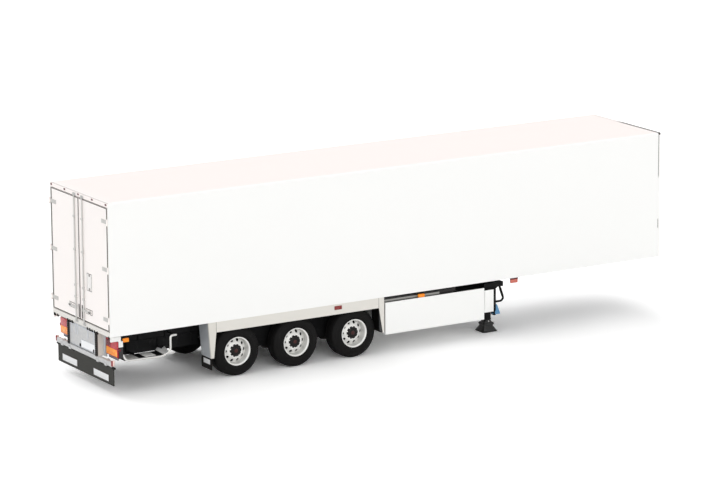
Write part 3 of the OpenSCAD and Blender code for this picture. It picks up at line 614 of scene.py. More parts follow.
post_low, post_high = span("bumper_posts")
post_y = post_high.y - 0.6
post_ribs = bmesh.new()
for i in range(11):
    z = post_low.z + 0.55 + i * 0.85
    pair(post_ribs, (-0.08, post_y - 0.55, z), (0.12, post_y + 0.55, z + 0.5), 0.1)
piece("post_ribs", post_ribs, rubber)


# ---- Tail lamps and their housings ----
# Each cluster is one red moulded lens with an amber band low down, screwed to a white housing.
# The lens wraps round the outer corner, and a small red marker stands out behind it.

white_plastic = Finish("matt white moulding", shade(250, 250, 248), 0.42)
white_plastic.worn(2000, 0.36, 0.52, 2000, 0.006, fine=3)
coat(white_plastic, "tool_boxes")
housing_white = Finish("white housing with a black foot", shade(240, 240, 237), 0.42)
housing_white.tint(1 - housing_white.fade(housing_white.axis("Z"), 19.9, 20.05), shade(20, 17, 18))
housing_white.worn(2000, 0.36, 0.52, 2000, 0.006, fine=3)
coat(housing_white, "lamp_housings")

amber_lens = Finish("clear amber lens", shade(255, 142, 14), 0.16, Coat_Weight=0.3, Specular_IOR_Level=0.3)
# The yellow blotches on the amber lens are painted highlights
amber_lens.ridged("Y", 0.25, 0.05).stained_or_lit(420, 0.45, 0.7, 0.6, shade(255, 196, 62), detail=2)
deep_red = Finish("deep red lens", shade(104, 16, 34), 0.16, Coat_Weight=0.3, Specular_IOR_Level=0.3)
deep_red.ridged("Y", 0.2, 0.05)

lamp_low, lamp_high = span("tail_lamps")
lamp_out, lamp_in = lamp_high.y, lamp_high.y - 10.2
lamp_foot, lamp_head = lamp_low.z, lamp_high.z
lamp_face, lamp_back = lamp_low.x, lamp_high.x
lenses, amber, deep, surround = bmesh.new(), bmesh.new(), bmesh.new(), bmesh.new()
pair(lenses, (lamp_face + 0.12, lamp_in + 0.1, lamp_foot + 0.1), (lamp_back, lamp_out, lamp_head - 0.1), 0.22, 3)
pair(amber, (lamp_face - 0.02, lamp_in + 0.45, lamp_foot + 0.4),
     (lamp_back, lamp_out - 0.4, lamp_foot + 3.4), 0.16, 3)
pair(deep, (lamp_face, lamp_in + 0.5, lamp_foot + 3.8), (lamp_back, lamp_in + 4.1, lamp_head - 0.4), 0.16, 3)
pair(surround, (lamp_face + 0.4, lamp_in, lamp_foot), (lamp_back + 0.1, lamp_out - 0.05, lamp_head), 0.1)
piece("tail_lamp_lenses", lenses, red_lens)
piece("tail_lamp_amber_bands", amber, amber_lens)
piece("tail_lamp_deep_lenses", deep, deep_red)
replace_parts(piece("tail_lamp_backs", surround, deep_red), "tail_lamps")

# A folded bracket holds each cluster from below, with two bolts
bar_low, bar_high = span("bumper_bar")
bracket_face, bracket_in, bracket_out = lamp_face + 0.9, lamp_in + 0.8, lamp_out - 1.2
lamp_brackets = bmesh.new()
pair(lamp_brackets, (bracket_face, bracket_in, bar_high.z + 0.15),
     (bracket_face + 0.45, bracket_out, lamp_foot + 0.3), 0.1)
pair(lamp_brackets, (bracket_face, bracket_in, lamp_foot - 0.35),
     (lamp_back + 0.6, bracket_out, lamp_foot - 0.02), 0.1)
for side in SIDES:
    for y in (lamp_in + 2.4, lamp_out - 3.0):
        bolt(lamp_brackets, (bracket_face, side * y, lamp_foot - 0.9), BACK, 0.26, 0.16)
bracket_grey = Finish("grey bracket in shade", shade(128, 122, 128), 0.5).worn(1200, 0.4, 0.6, 3600, 0.01)
piece("lamp_brackets", lamp_brackets, bracket_grey)

stalk_lamps = bmesh.new()
pair(stalk_lamps, (3.1, 25.6, 18.3), (4.5, 26.35, 19.5), 0.2, 3)
piece("stalk_lamps", stalk_lamps, deep_red)


# ---- Underrun bar and marker arms ----
# A pale grey alloy tube with rounded corners, clamped to the posts' brackets by folded straps.
# Rubber arms with a red and a white face rise from its ends.

bar_face, bar_back, bar_foot, bar_head = bar_low.x, bar_high.x, bar_low.z, bar_high.z
clamps = bmesh.new()
for y in (12.5, 19.6):
    inner, outer = y - 0.9, y + 0.9
    pair(clamps, (bar_face - 0.14, inner, bar_foot - 0.25), (bar_face + 0.05, outer, bar_head + 0.2), 0.06)
    pair(clamps, (bar_face - 0.1, inner, bar_head), (bar_back + 0.1, outer, bar_head + 0.2), 0.06)
    pair(clamps, (bar_face - 0.1, inner, bar_foot - 0.25), (bar_back + 0.1, outer, bar_foot), 0.06)
    for side in SIDES:
        for dy in (-0.5, 0.5):
            bolt(clamps, (bar_face - 0.14, side * (y + dy), bar_head - 1), BACK, 0.2, 0.12)
pair(clamps, (bar_face - 0.05, bar_high.y - 0.25, bar_foot - 0.05),
     (bar_back + 0.05, bar_high.y + 0.12, bar_head + 0.05), 0.3, 3)
piece("bar_clamps", clamps, galvanised)

marker_red = Finish("red and white rubber marker", shade(138, 34, 40), 0.45)
marker_red.tint(marker_red.fade(marker_red.axis("X", datum), 1.0, 1.15), shade(240, 214, 206))
marker_red.worn(1500, 0.36, 0.55, 3000, 0.01, detail=2)
coat(marker_red, "marker_arms")
arm_high = span("marker_arms")[1]
arm_lamps = bmesh.new()
pair(arm_lamps, (bar_face - 0.1, arm_high.y - 1.04, bar_foot + 0.4),
     (bar_face + 1.3, arm_high.y - 0.2, arm_high.z), 0.3, 3)
piece("marker_arm_lenses", arm_lamps, marker_red)


# ---- Rear mudflap ----
# A sheet of dark grey rubber across the whole width, with fine upright ribs, hung from the bar.
# Two blank pale plates with rounded corners are glued to it, and a clip holds each upper corner.

flap_rubber = Finish("dark grey flap rubber", shade(52, 52, 49), 0.68, Specular_IOR_Level=0.2)
flap_rubber.ridged("Y", 0.3, 0.03).stained_or_lit(2200, 0.5, 0.8, 0.5, shade(70, 70, 66))
flap_rubber.sheen(flap_rubber.noise(2200, 3), 0.56, 0.8)
coat(flap_rubber, "rear_mudflap")

flap_low, flap_high = span("rear_mudflap")
flap_face, flap_head = flap_low.x, flap_high.z
plate_shade = Finish("pale blank badge plate", shade(224, 225, 226), 0.35)
plate_shade.worn(1500, 0.28, 0.45, 5000, 0.004, detail=2, fine=1)
badge_plates = bmesh.new()
badge_rims = bmesh.new()
for y in (14, -14.2):
    block(badge_rims, (flap_face - 0.1, y - 6.9, 4.75), (flap_face + 0.05, y + 6.9, 8.05), 0.06)
    block(badge_plates, (flap_face - 0.16, y - 6.6, 5.05), (flap_face, y + 6.6, 7.75), 0.07)
piece("flap_badge_rims", badge_rims, dark_trim)
piece("flap_badge_plates", badge_plates, plate_shade)
flap_clips = bmesh.new()
pair(flap_clips, (flap_face - 0.25, 23.6, flap_head - 0.9), (flap_face + 0.7, 25.9, flap_head - 0.05), 0.12)
for y in (-20, -15, -10, -5, 5, 10, 15, 20):
    bolt(flap_clips, (flap_face, y, flap_head - 0.5), BACK, 0.2, 0.12)
piece("flap_clips", flap_clips, rubber)


# ---- Axles, springs and brakes ----
# Trailing-arm air suspension: arms pivot in cast hangers, clamp the axle tubes with U-bolts and
# rest on ribbed air springs. Brake chambers and dampers stand beside the arms, painted black.


def turned(bm, outline, centre, axis, steps=48):
    """Spins (radius, distance along the axis) points round an axis through centre, all in mm."""
    centre, axis = at(*centre), Vector(axis)
    across = axis.orthogonal().normalized()
    points = [bm.verts.new(centre + across * (r * MM) + axis * (d * MM)) for r, d in outline]
    edges = [bm.edges.new(ends) for ends in zip(points, points[1:])]
    bmesh.ops.spin(bm, geom=points + edges, cent=centre, axis=axis, angle=2 * math.pi, steps=steps,
                   use_merge=True, use_duplicate=False)


def close_poles(bm):
    """Merges the points that a spin leaves on its axis."""
    bmesh.ops.remove_doubles(bm, verts=bm.verts, dist=0.004 * MM)


bellows = bmesh.new()
spring_foot, spring_head = [corner.z for corner in span("air_springs")]
tall, spring_r = spring_head - spring_foot, 2.6
# A stepped piston below, and a sleeve with two rolls and a clamped top plate above
spring_outline = [(0, 0), (1.9, 0), (2.3, 0.4), (2.4, 1.2), (2.3, 3.6), (2.1, 4.4), (1.85, 5.2), (1.8, tall * 0.56),
                  (2.3, tall * 0.59), (spring_r, tall * 0.65), (spring_r, tall * 0.7), (2.42, tall * 0.75),
                  (spring_r, tall * 0.8), (spring_r, tall * 0.87), (2.35, tall * 0.93), (2.4, tall - 0.35),
                  (2.4, tall), (0, tall)]
chamber_outline = [(0, 0), (1.5, 0.1), (1.6, 0.5), (1.6, 1.6), (1.75, 1.7), (1.75, 2.0), (1.6, 2.1), (1.6, 3.4),
                   (1.3, 3.9), (0, 4)]
brakes = bmesh.new()
for x in axles:
    for side in SIDES:
        turned(bellows, spring_outline, (x - 7.6, side * rail_mid, spring_foot), UP, 32)
        # Brake chamber ahead of the axle tube, with its push rod
        turned(brakes, chamber_outline, (x + 4.4, side * 8.2, 14.4), Vector((0.25, 0, 1)).normalized(), 24)
        rod(brakes, (x + 4.0, side * 8.2, 14.5), (x + 1.2, side * 8.2, 11.2), 0.3, 10)
        # Damper from arm to rail
        rod(brakes, (x - 3.2, side * 10.6, 11.4), (x + 3.8, side * 10.6, 17.2), 0.55, 16)
        rod(brakes, (x + 0.4, side * 10.6, 14.4), (x + 5.6, side * 10.6, 18.7), 0.35, 12)
        rod(brakes, (x - 3.2, side * 10.2, 11.4), (x - 3.2, side * 12.6, 11.4), 0.35, 12)
        rod(brakes, (x + 5.6, side * 10.2, 18.7), (x + 5.6, side * 12.5, 18.7), 0.35, 12)
        # U-bolts round the tube
        for dx in (-1.75, 1.75):
            for y in (11.2, 15.4):
                rod(brakes, (x + dx, side * y, 8.6), (x + dx, side * y, 13.0), 0.2, 10)
                bolt(brakes, (x + dx, side * y, 13.0), UP, 0.34, 0.3)
        # Pivot bolt of the arm in its hanger
        rod(brakes, (x + 10.6, side * 11.3, 10.2), (x + 10.6, side * 15.5, 10.2), 0.55, 16)
        bolt(brakes, (x + 10.6, side * 15.5, 10.2), (0, side, 0), 0.8, 0.3)
    for low_z, high_z in ((12.35, 12.75), (8.5, 8.85)):
        pair(brakes, (x - 2.1, 10.9, low_z), (x + 2.1, 15.7, high_z), 0.1)
close_poles(bellows)
close_poles(brakes)
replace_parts(piece("air_spring_bellows", bellows, rubber), "air_springs")
piece("brake_gear", brakes, chassis_black)


# ---- Wheels ----
# Pressed steel discs in a silver finish, with ten hand holes and ten wheel nuts round a black hub cap
# that has a red-brown centre. Tyres are smooth-walled road tyres with five ribs.

rim_silver = Finish("silver wheel paint", shade(240, 239, 236), 0.34, Metallic=0.1)
rim_silver.worn(1300, 0.28, 0.46, 4200, 0.006)
# The barrel is the rim's silver darkened as painted shade inside the wheel
barrel_painted_shade = Finish("silver darkened as painted shade", shade(204, 204, 201), 0.4, Metallic=0.2)
barrel_painted_shade.worn(1300, 0.32, 0.5, 4200, 0.006)
tyre_black = Finish("black tyre rubber", shade(12, 11, 11), 0.7, Specular_IOR_Level=0.13)
tyre_black.worn(1100, 0.58, 0.82, 4600, 0.012, detail=4, fine=3)
tyre_black.stained_or_lit(1100, 0.5, 0.85, 0.5, shade(22, 20, 18), detail=4)
hub_black = Finish("black hub enamel", shade(16, 13, 12), 0.4, Specular_IOR_Level=0.2)
hub_black.worn(1600, 0.26, 0.5, 4200, 0.01)
cap_brown = Finish("red-brown hub centre", shade(62, 26, 23), 0.4, Specular_IOR_Level=0.3)
cap_brown.worn(1600, 0.3, 0.5, 4200, 0.01)

tyre_high = span("rear_tyres")[1]
tyre_r, tyre_out, tyre_w = tyre_high.z / 2, tyre_high.y, 7.6
tyre_in = tyre_out - tyre_w
rim_r = 5.8
hub_face = tyre_out - 2.5

# A half section of the tyre, from the bead up the side wall and over half of the tread
side_wall = [(rim_r, 0.75), (rim_r + 0.32, 0.42), (rim_r + 0.62, 0.3), (rim_r + 0.7, 0.16), (rim_r + 1.4, 0.02),
             (rim_r + 1.5, 0.1), (rim_r + 1.62, 0.1), (rim_r + 1.72, 0.0), (rim_r + 2.7, 0.04), (rim_r + 3.3, 0.3),
             (rim_r + 3.42, 0.26), (rim_r + 3.75, 0.42), (tyre_r - 0.62, 0.72), (tyre_r - 0.3, 1.0)]
tread = [(tyre_r - 0.14, 1.22), (tyre_r - 0.04, 1.9)]
for groove in (2.15, 3.05):
    tread += [(tyre_r - 0.02, groove), (tyre_r - 0.42, groove + 0.06), (tyre_r - 0.42, groove + 0.26),
              (tyre_r, groove + 0.32)]
half = side_wall + tread
tyre_outline = half + [(r, tyre_w - d) for r, d in reversed(half)] + [(rim_r, tyre_w - 0.75), (rim_r, 0.75)]

# Sections of the wheel, from its outer lip inwards, measured from the disc's face
flange_r = rim_r + 0.25
flange = [(5.5, 1.7), (rim_r, 1.6), (flange_r, 2.05), (flange_r, 2.28), (flange_r - 0.28, 2.3),
          (flange_r - 0.42, 2.15), (5.5, 1.7)]
barrel = [(5.5, 1.72), (5.42, 0.3), (5.34, -1.0), (5.34, -4.6), (5.6, -4.8), (flange_r, -4.8), (flange_r, -4.6),
          (rim_r, -4.3), (rim_r, 1.62), (5.5, 1.72)]
# A black ring under the nuts is painted shade between them
nut_shade_ring = [(2.2, 0.45), (2.2, 0.58), (2.68, 0.6), (2.74, 0.54), (2.74, 0.45), (2.2, 0.45)]
centre_disc = [(2.2, 0.5), (3.05, 0.52), (3.3, 0.46), (3.42, 0.34), (3.42, 0.1), (2.2, 0.1), (2.2, 0.5)]
hub_cap = [(0, 0.2), (2.35, 0.2), (2.35, 0.7), (2.2, 0.95), (1.95, 1.08), (0.95, 1.1), (0.9, 1.02), (0, 1.02)]
drum = [(0, -4.4), (4.9, -4.4), (5.05, -4.2), (5.05, -1.7), (4.8, -1.5), (0, -1.5)]
hub_centre = [(0, 0.95), (0.82, 0.95), (0.82, 1.16), (0.7, 1.28), (0.3, 1.34), (0, 1.34)]


def holed_cone(bm, centre, side, inner, outer, hole, thick):
    """A conical ring with ten round holes, between two (radius, distance along the axis) points in mm."""

    def spot(turn, t, back):
        radius = inner[0] + (outer[0] - inner[0]) * t
        along = inner[1] + (outer[1] - inner[1]) * t - back
        return at(*(centre + Vector((math.cos(turn) * radius, side * along, math.sin(turn) * radius))))

    radius = (inner[0] + outer[0]) / 2
    wide = abs(outer[0] - inner[0]) / 2
    for i in range(10):
        loops = []
        for back in (0, thick):
            for square in (True, False):
                made = bmesh.ops.create_circle(bm, cap_ends=False, segments=24, radius=1)["verts"]
                for v in made:
                    turn = math.atan2(v.co.y, v.co.x)
                    u, w = math.cos(turn) * hole / radius, math.sin(turn) * hole / wide
                    if square:
                        # Even steps round the edge of the ring's tenth part
                        corner = round(turn / (math.pi / 2)) * math.pi / 2
                        lean = (turn - corner) / (math.pi / 4)
                        u = (math.cos(corner) - math.sin(corner) * lean) * math.radians(18)
                        w = math.sin(corner) + math.cos(corner) * lean
                    v.co = spot(math.radians(36 * i) + u, (w + 1) / 2, back)
                loops.append(list({e for v in made for e in v.link_edges}))
        for first, second in ((0, 1), (2, 3), (1, 3)):
            bmesh.ops.bridge_loops(bm, edges=loops[first] + loops[second])


def on_shoulder(face, x):
    """Whether a face of a tyre on the axle at x lies on the blocks of its outermost ribs."""
    middle = (face.calc_center_median() - at(x, 0, tyre_r)) / MM
    outward = abs(middle.y) - tyre_in
    from_ribs = min(abs(outward - 1.56), abs(outward - tyre_w + 1.56))
    return math.hypot(middle.x, middle.z) > tyre_r - 0.24 and from_ribs < 0.3


for wheel, x in zip(WHEELS, axles):
    body = wheel + "_wheelset"
    rims, barrels, tyres, nuts, hubs, caps = [bmesh.new() for _ in range(6)]
    for side in SIDES:
        out = (0, side, 0)
        face = Vector((x, side * hub_face, tyre_r))
        turned(tyres, tyre_outline, (x, side * tyre_in, tyre_r), out, 120)
        for bm, outline, steps in ((rims, flange, 60), (rims, centre_disc, 60), (barrels, barrel, 60),
                                   (hubs, nut_shade_ring, 60), (hubs, hub_cap, 40), (hubs, drum, 32),
                                   (caps, hub_centre, 24)):
            turned(bm, outline, face, out, steps)
        holed_cone(rims, face, side, (3.36, 0.42), (5.38, -1.1), 0.66, 0.32)
        for dx, dz in ring(10, 2.74, 18):
            bolt(nuts, face + Vector((dx, side * 0.5, dz)), out, 0.34, 0.5)
        for dx, dz in ring(10, 1.6, 18):
            bolt(hubs, face + Vector((dx, side * 1.06, dz)), out, 0.18, 0.1)
    for made in (tyres, rims, barrels, nuts, hubs, caps):
        close_poles(made)
    # Slots cut the shoulders into blocks
    shoulder = [f for f in tyres.faces if on_shoulder(f, x)]
    bmesh.ops.inset_individual(tyres, faces=shoulder, thickness=0.07 * MM, depth=0.1 * MM, use_even_offset=True)
    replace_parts(piece(wheel + "_road_tyres", tyres, tyre_black, body), wheel + "_tyres")
    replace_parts(piece(wheel + "_pressed_rims", rims, rim_silver, body), wheel + "_rims")
    piece(wheel + "_rim_barrels", barrels, barrel_painted_shade, body)
    piece(wheel + "_wheel_nuts", nuts, rim_silver, body)
    piece(wheel + "_hub_caps", hubs, hub_black, body, 25)
    piece(wheel + "_hub_centres", caps, cap_brown, body)


# ---- Wheel skirts, liners and small mudflaps ----
# Pale grey moulded panels over the wheels: a long band and tapered legs, with a seam where they meet.
# The rear leg's guard plate turns in behind the wheel and carries a small black flap with a blank plate.

band_low, band_high = span("skirt_bands")
band_foot, band_head = band_low.z, band_high.z
skirt_grey = Finish("pale grey moulded skirt", shade(225, 222, 215), 0.42)
skirt_grey.worn(2300, 0.36, 0.54, 2300, 0.008, fine=3)
coat(skirt_grey, "skirt_bands")
leg_grey = Finish("pale grey leg with a black edge", skirt_grey.colour, 0.42)
leg_rear = at(span("skirt_front_legs")[0].x, 0, band_foot + 0.4)
slanted = leg_grey.axis("X", leg_rear) + leg_grey.axis("Z", leg_rear) * 0.17
leg_grey.tint(1 - leg_grey.fade(slanted, -0.05, 0.05), black_plastic.colour)
leg_grey.worn(2300, 0.36, 0.54, 2300, 0.008, fine=3)
coat(leg_grey, "skirt_front_legs")

shaded_guard_grey = Finish("pale grey guard with painted shade", shade(220, 217, 209), 0.42)
# Where the guard turns in behind the wheel it is painted blue-grey as shade
shaded_guard_grey.tint(1 - shaded_guard_grey.fade(abs(shaded_guard_grey.axis("Y")), 25.0, 25.35), shade(170, 174, 178))
shaded_guard_grey.worn(2300, 0.36, 0.54, 2300, 0.008, fine=3)
coat(shaded_guard_grey, "skirt_rear_legs")

skirt_seams = bmesh.new()
for x in (band_low.x, band_high.x):
    pair(skirt_seams, (x - 0.06, side_y - 0.3, band_foot), (x + 0.06, side_y + 0.015, band_head))
piece("skirt_seams", skirt_seams, dark_trim)

skirt_screws = bmesh.new()
screw_z = band_head - 0.55
for side in SIDES:
    for x in (52, 64, 76, 88, 100, 118):
        rod(skirt_screws, (x, side * (side_y - 0.05), screw_z), (x, side * (side_y + 0.04), screw_z), 0.2, 12, 0.16)
piece("skirt_screws", skirt_screws, skirt_grey)

# Black splash panels hang inside the wheels, from the liners down to just above the axle tubes
splash = bmesh.new()
liner_head = span("wheel_liners")[1].z
splash_in, splash_out, apart = tyre_in - 1.1, tyre_in - 0.7, axles[1] - axles[0]
pair(splash, (axles[0] - 8, splash_in, tyre_r + 2.1), (axles[2] + 8, splash_out, liner_head - 0.3), 0.08)
for x in axles[:2]:
    pair(splash, (x + 3.5, splash_in, 9), (x + apart - 3.5, splash_out, tyre_r + 2.3), 0.08)
for i in range(9):
    x = axles[0] - 6 + i * 8.5
    pair(splash, (x, splash_out - 0.05, tyre_r + 2.5), (x + 1, splash_out + 0.15, liner_head - 0.6), 0.06)
piece("splash_panels", splash, black_plastic)

small_plates = bmesh.new()
small_flap_x = span("wheel_flaps")[0].x
pair(small_plates, (small_flap_x - 0.12, 19.2, 6.6), (small_flap_x + 0.02, 24.6, 8.6), 0.06)
piece("small_flap_plates", small_plates, plate_shade)


# ---- Guard tubes and step plates ----
# A silver tube runs from each lamp housing, forward along the side and up to the chassis.
# Inside it lie black step plates with pale tread sheets riveted on top.


def bent_tube(bm, route, radius, bend=1.2, sides=5):
    """A round tube through a list of (x, y, z) points, with each corner bent, all in mm."""
    curve = bpy.data.curves.new("tube path", "CURVE")
    curve.dimensions = "3D"
    curve.bevel_depth, curve.bevel_resolution, curve.use_fill_caps = radius * MM, sides, True
    points = [at(*point) for point in route]
    path = points[:1]
    for before, corner, after in zip(points, points[1:], points[2:]):
        back, on = before - corner, after - corner
        reach = min(bend * MM, back.length * 0.45, on.length * 0.45)
        start, end = corner + back.normalized() * reach, corner + on.normalized() * reach
        for i in range(7):
            t = i / 6
            path.append(start * (1 - t) ** 2 + corner * 2 * t * (1 - t) + end * t ** 2)
    path.append(points[-1])
    spline = curve.splines.new("POLY")
    spline.points.add(len(path) - 1)
    for point, place in zip(spline.points, path):
        point.co = (*place, 1)
    holder = bpy.data.objects.new("tube path", curve)
    mesh = bpy.data.meshes.new_from_object(holder)
    bm.from_mesh(mesh)
    bpy.data.objects.remove(holder)
    bpy.data.curves.remove(curve)
    bpy.data.meshes.remove(mesh)


tube_silver = Finish("silver painted tube", shade(214, 213, 210), 0.34, Metallic=0.25)
tube_silver.worn(1400, 0.26, 0.44, 4200, 0.006)
housing_front = span("lamp_housings")[1].x
tubes = bmesh.new()
bearers = bmesh.new()
for side in SIDES:
    y, y_in = side * 25.1, side * 24.0
    bent_tube(tubes, [(housing_front - 0.2, y_in, 16.2), (housing_front + 0.8, y_in, 16.2), (7.4, y, 13.7),
                      (24, y, 13.4), (27.8, y, 15.2), (27.8, y, 21.6), (30.6, side * 24.9, 21.5)], 0.45, 1.6)
    bent_tube(tubes, [(26.6, y, 14.2), (28.4, side * 24.6, 13.9), (29.8, side * 24.2, 14.0)], 0.3, 0.8)
    rod(bearers, (30.0, side * 25.2, 21.5), (30.0, side * (rail_out - 0.1), 21.5), 0.4, 16)
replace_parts(piece("guard_tube_loops", tubes, tube_silver), "guard_tubes")
piece("guard_tube_bearers", bearers, chassis_black)

coat(black_plastic, "steps")
tread_grey = Finish("pale tread sheet", shade(232, 231, 228), 0.45, Metallic=0.1)
# The first sheets are the tread sheet darkened as painted shade
shaded_tread = Finish("tread sheet darkened as painted shade", shade(186, 185, 182), 0.5, Metallic=0.1)
for tread in (tread_grey, shaded_tread):
    lozenge = tread.add("ShaderNodeTexVoronoi", {"feature": "DISTANCE_TO_EDGE"},
                        {"Vector": tread.place(), "Scale": 1500.0})
    tread.relief(tread.fade(lozenge, 0.02, 0.12), 0.05).sheen(tread.noise(1500, 3), 0.36, 0.6)
arrow_white = Finish("white tread sheet", shade(252, 252, 250), 0.42).worn(1500, 0.36, 0.52, 3600, 0.01)

step_top = span("steps")[0].z + 0.5
sheet_top = step_top + 0.16
first_treads, second_treads, arrows = bmesh.new(), bmesh.new(), bmesh.new()
for sheets, x0, x1 in ((first_treads, 7.5, 13.3), (second_treads, 16.6, 21.4)):
    pair(sheets, (x0, 17.8, step_top - 0.05), (x1, 24.4, sheet_top), 0.06)
    for side in SIDES:
        for x in (x0 + 0.5, x1 - 0.5):
            for y in (18.4, 23.8):
                bolt(sheets, (x, side * y, sheet_top), UP, 0.16, 0.08)
# The last sheet ends in two pointed tabs
arrow = [(25.2, 17.0), (24.9, 23.4), (26.6, 24.4), (29.0, 20.2), (31.3, 13.0), (28.0, 16.8), (27.9, 13.2)]
for side in SIDES:
    sheet = arrows.faces.new([arrows.verts.new(at(x, side * y, step_top + 0.02)) for x, y in arrow[::side]])
    raised = bmesh.ops.extrude_face_region(arrows, geom=[sheet])["geom"]
    lifted = [v for v in raised if isinstance(v, bmesh.types.BMVert)]
    bmesh.ops.translate(arrows, vec=(0, 0, 0.16 * MM), verts=lifted)
piece("arrow_sheets", arrows, arrow_white)
piece("first_tread_sheets", first_treads, shaded_tread)
piece("second_tread_sheets", second_treads, tread_grey)


# ---- Pallet box and tool boxes ----
# White moulded boxes under the floor between the wheels and the legs. The long one opens through a
# flush flap on each side, with hinges along its top edge and two small catches at its foot.

box_low, box_high = span("pallet_box_doors")
box_foot, box_head = box_low.z, box_high.z
box_white_shaded_top = Finish("white moulding with painted shade on top", white_plastic.colour, 0.42)
# The boxes' top faces are painted black as shade under the body
box_white_shaded_top.tint(box_white_shaded_top.fade(box_white_shaded_top.axis("Z"), box_head - 0.05, box_head - 0.02), black_plastic.colour)
box_white_shaded_top.worn(2000, 0.36, 0.52, 2000, 0.006, fine=3)
coat(box_white_shaded_top, "pallet_box", "pallet_box_doors")
slide_grey = Finish("galvanised slide in shade", shade(168, 167, 163), 0.5, Metallic=0.2)
slide_black = shade(24, 21, 20)
# The slide is painted in shade: grey low down, black at the top and ahead of 158 mm where the shade under the body
# deepens
slide_grey.tint(slide_grey.fade(slide_grey.axis("Z"), box_head + 0.75, box_head + 0.85), slide_black)
slide_grey.tint(slide_grey.fade(slide_grey.axis("X", datum), 158, 158.2), slide_black)
slide_grey.worn(1200, 0.4, 0.6, 3600, 0.01)
coat(slide_grey, "pallet_box_rails")

box_catches = bmesh.new()
for x in (box_low.x + 8, box_high.x - 8):
    pair(box_catches, (x - 1.2, side_y - 0.05, box_foot + 0.5), (x + 1.2, side_y + 0.07, box_foot + 1.2), 0.05)
tool_low, tool_high = span("tool_boxes")
tool_foot, tool_head, tool_face = tool_low.z, tool_high.z, tool_high.y
pair(box_catches, (tool_low.x + 0.35, tool_face - 0.05, tool_foot + 0.4),
     (tool_high.x - 0.35, tool_face + 0.1, tool_head - 0.4), 0.08)
piece("box_catches", box_catches, white_plastic)
tool_mounts = bmesh.new()
pair(tool_mounts, (tool_low.x - 0.15, tool_face - 6, tool_head - 0.75),
     (tool_high.x + 0.1, tool_face + 0.14, tool_head + 0.02), 0.06)
pair(tool_mounts, (tool_high.x - 0.1, tool_face - 6, tool_foot + 0.1),
     (tool_high.x + 1.3, tool_face - 0.1, tool_head), 0.1)
piece("tool_box_mounts", tool_mounts, black_plastic)


# ---- Landing gear ----
# Two square telescopic legs, each standing on a flared cast foot with stiffening ridges and a pivot bolt.
# A folded crank sits ahead of the right leg, above a blue wheel chock in its holder.

foot_low, foot_high = span("landing_feet")
leg_x = (foot_low.x + foot_high.x) / 2
leg_y = foot_high.y - 3.55
# Rounded square rings, each (half width, height) in mm, bridged from the ground up
foot_rings = [(3.65, 0.0), (3.8, 0.12), (3.8, 0.5), (3.6, 0.62), (3.35, 0.95), (3.3, 1.2), (3.05, 1.35), (2.95, 1.7),
              (2.7, 1.85), (2.6, 2.2), (2.4, 2.35), (2.35, 2.75), (2.65, 3.0), (2.7, 3.2), (2.7, 3.6), (2.55, 3.8),
              (2.4, 4.0), (1.9, 4.1), (1.8, 4.5), (1.4, 4.6)]
feet = bmesh.new()
pivots = bmesh.new()
leg_trim = bmesh.new()
for side in SIDES:
    y = side * leg_y
    loops = []
    for half, z in foot_rings:
        made = bmesh.ops.create_circle(feet, cap_ends=False, segments=32, radius=1)["verts"]
        for v in made:
            turn = math.atan2(v.co.y, v.co.x)
            across, along = math.cos(turn), math.sin(turn)
            reach = half * (abs(across) ** 7 + abs(along) ** 7) ** (-1 / 7)
            v.co = at(leg_x + across * reach, y + along * reach, z)
        loops.append(list({e for v in made for e in v.link_edges}))
    for lower, upper in zip(loops, loops[1:]):
        bmesh.ops.bridge_loops(feet, edges=lower + upper)
    bmesh.ops.holes_fill(feet, edges=loops[0] + loops[-1], sides=0)
    for ear in (y - 1.65, y + 1.65):
        block(feet, (leg_x - 1.35, ear - 0.35, 3.2), (leg_x + 1.35, ear + 0.35, 5.2), 0.3, 3)
    rod(pivots, (leg_x, y - 2.1, 4.6), (leg_x, y + 2.1, 4.6), 0.3, 16)
    for dy in (-1.5, 1.5):
        bolt(pivots, (leg_x + 2.68, y + dy, 3.4), AHEAD, 0.34, 0.2)

    # Bands round the leg, and a sleeve on its telescopic tube with a collar at the foot
    for foot, head, half, edge in ((10.2, 10.7, 1.45, 0.12), (14.6, 14.95, 1.42, 0.12), (20.4, 21.4, 1.5, 0.12),
                                   (5.4, 10.3, 1.5, 0.15), (5.2, 5.7, 1.62, 0.12)):
        block(leg_trim, (leg_x - half, y - half, foot), (leg_x + half, y + half, head), edge)
    for z in (9.6, 12.0, 14.4, 16.8, 19.2):
        for out in (0.3, 2.4):
            bolt(leg_trim, (leg_x + 2.2, side * (leg_y + out), z), AHEAD, 0.24, 0.14)
    rod(leg_trim, (leg_x, side * (leg_y - 1.3), 18.6), (leg_x, side * (leg_y - 2.4), 18.6), 0.9, 24, 0.8)
rod(leg_trim, (leg_x, 1.3 - leg_y, 18.6), (leg_x, leg_y - 1.3, 18.6), 0.4, 16)

cast_black = Finish("black painted casting", shade(24, 24, 23), 0.42, Specular_IOR_Level=0.45)
cast_black.worn(1400, 0.32, 0.56, 3000, 0.02, fine=3)
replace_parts(piece("cast_feet", feet, cast_black), "landing_feet")
piece("foot_pivots", pivots, fittings)
piece("leg_trim", leg_trim, chassis_black)

chock_blue = Finish("blue moulded chock", shade(94, 148, 190), 0.45)
chock_blue.sheen(chock_blue.noise(1500, 3), 0.38, 0.56).ridged("Z", 0.3, 0.05)
coat(chock_blue, "wheel_chock")
chock_low, chock_high = span("wheel_chock")
chock_x, chock_foot = chock_low.x - 0.1, chock_low.z
chock_holder = bmesh.new()
block(chock_holder, (chock_x, chock_low.y - 0.2, chock_foot - 0.3),
      (chock_x + 1, chock_high.y + 0.2, chock_foot), 0.08)
for y in (chock_low.y, chock_high.y):
    block(chock_holder, (chock_x, y - 0.25, chock_foot - 0.2), (chock_x + 0.6, y + 0.25, chock_foot + 3.9), 0.08)
piece("chock_holder", chock_holder, chassis_black)

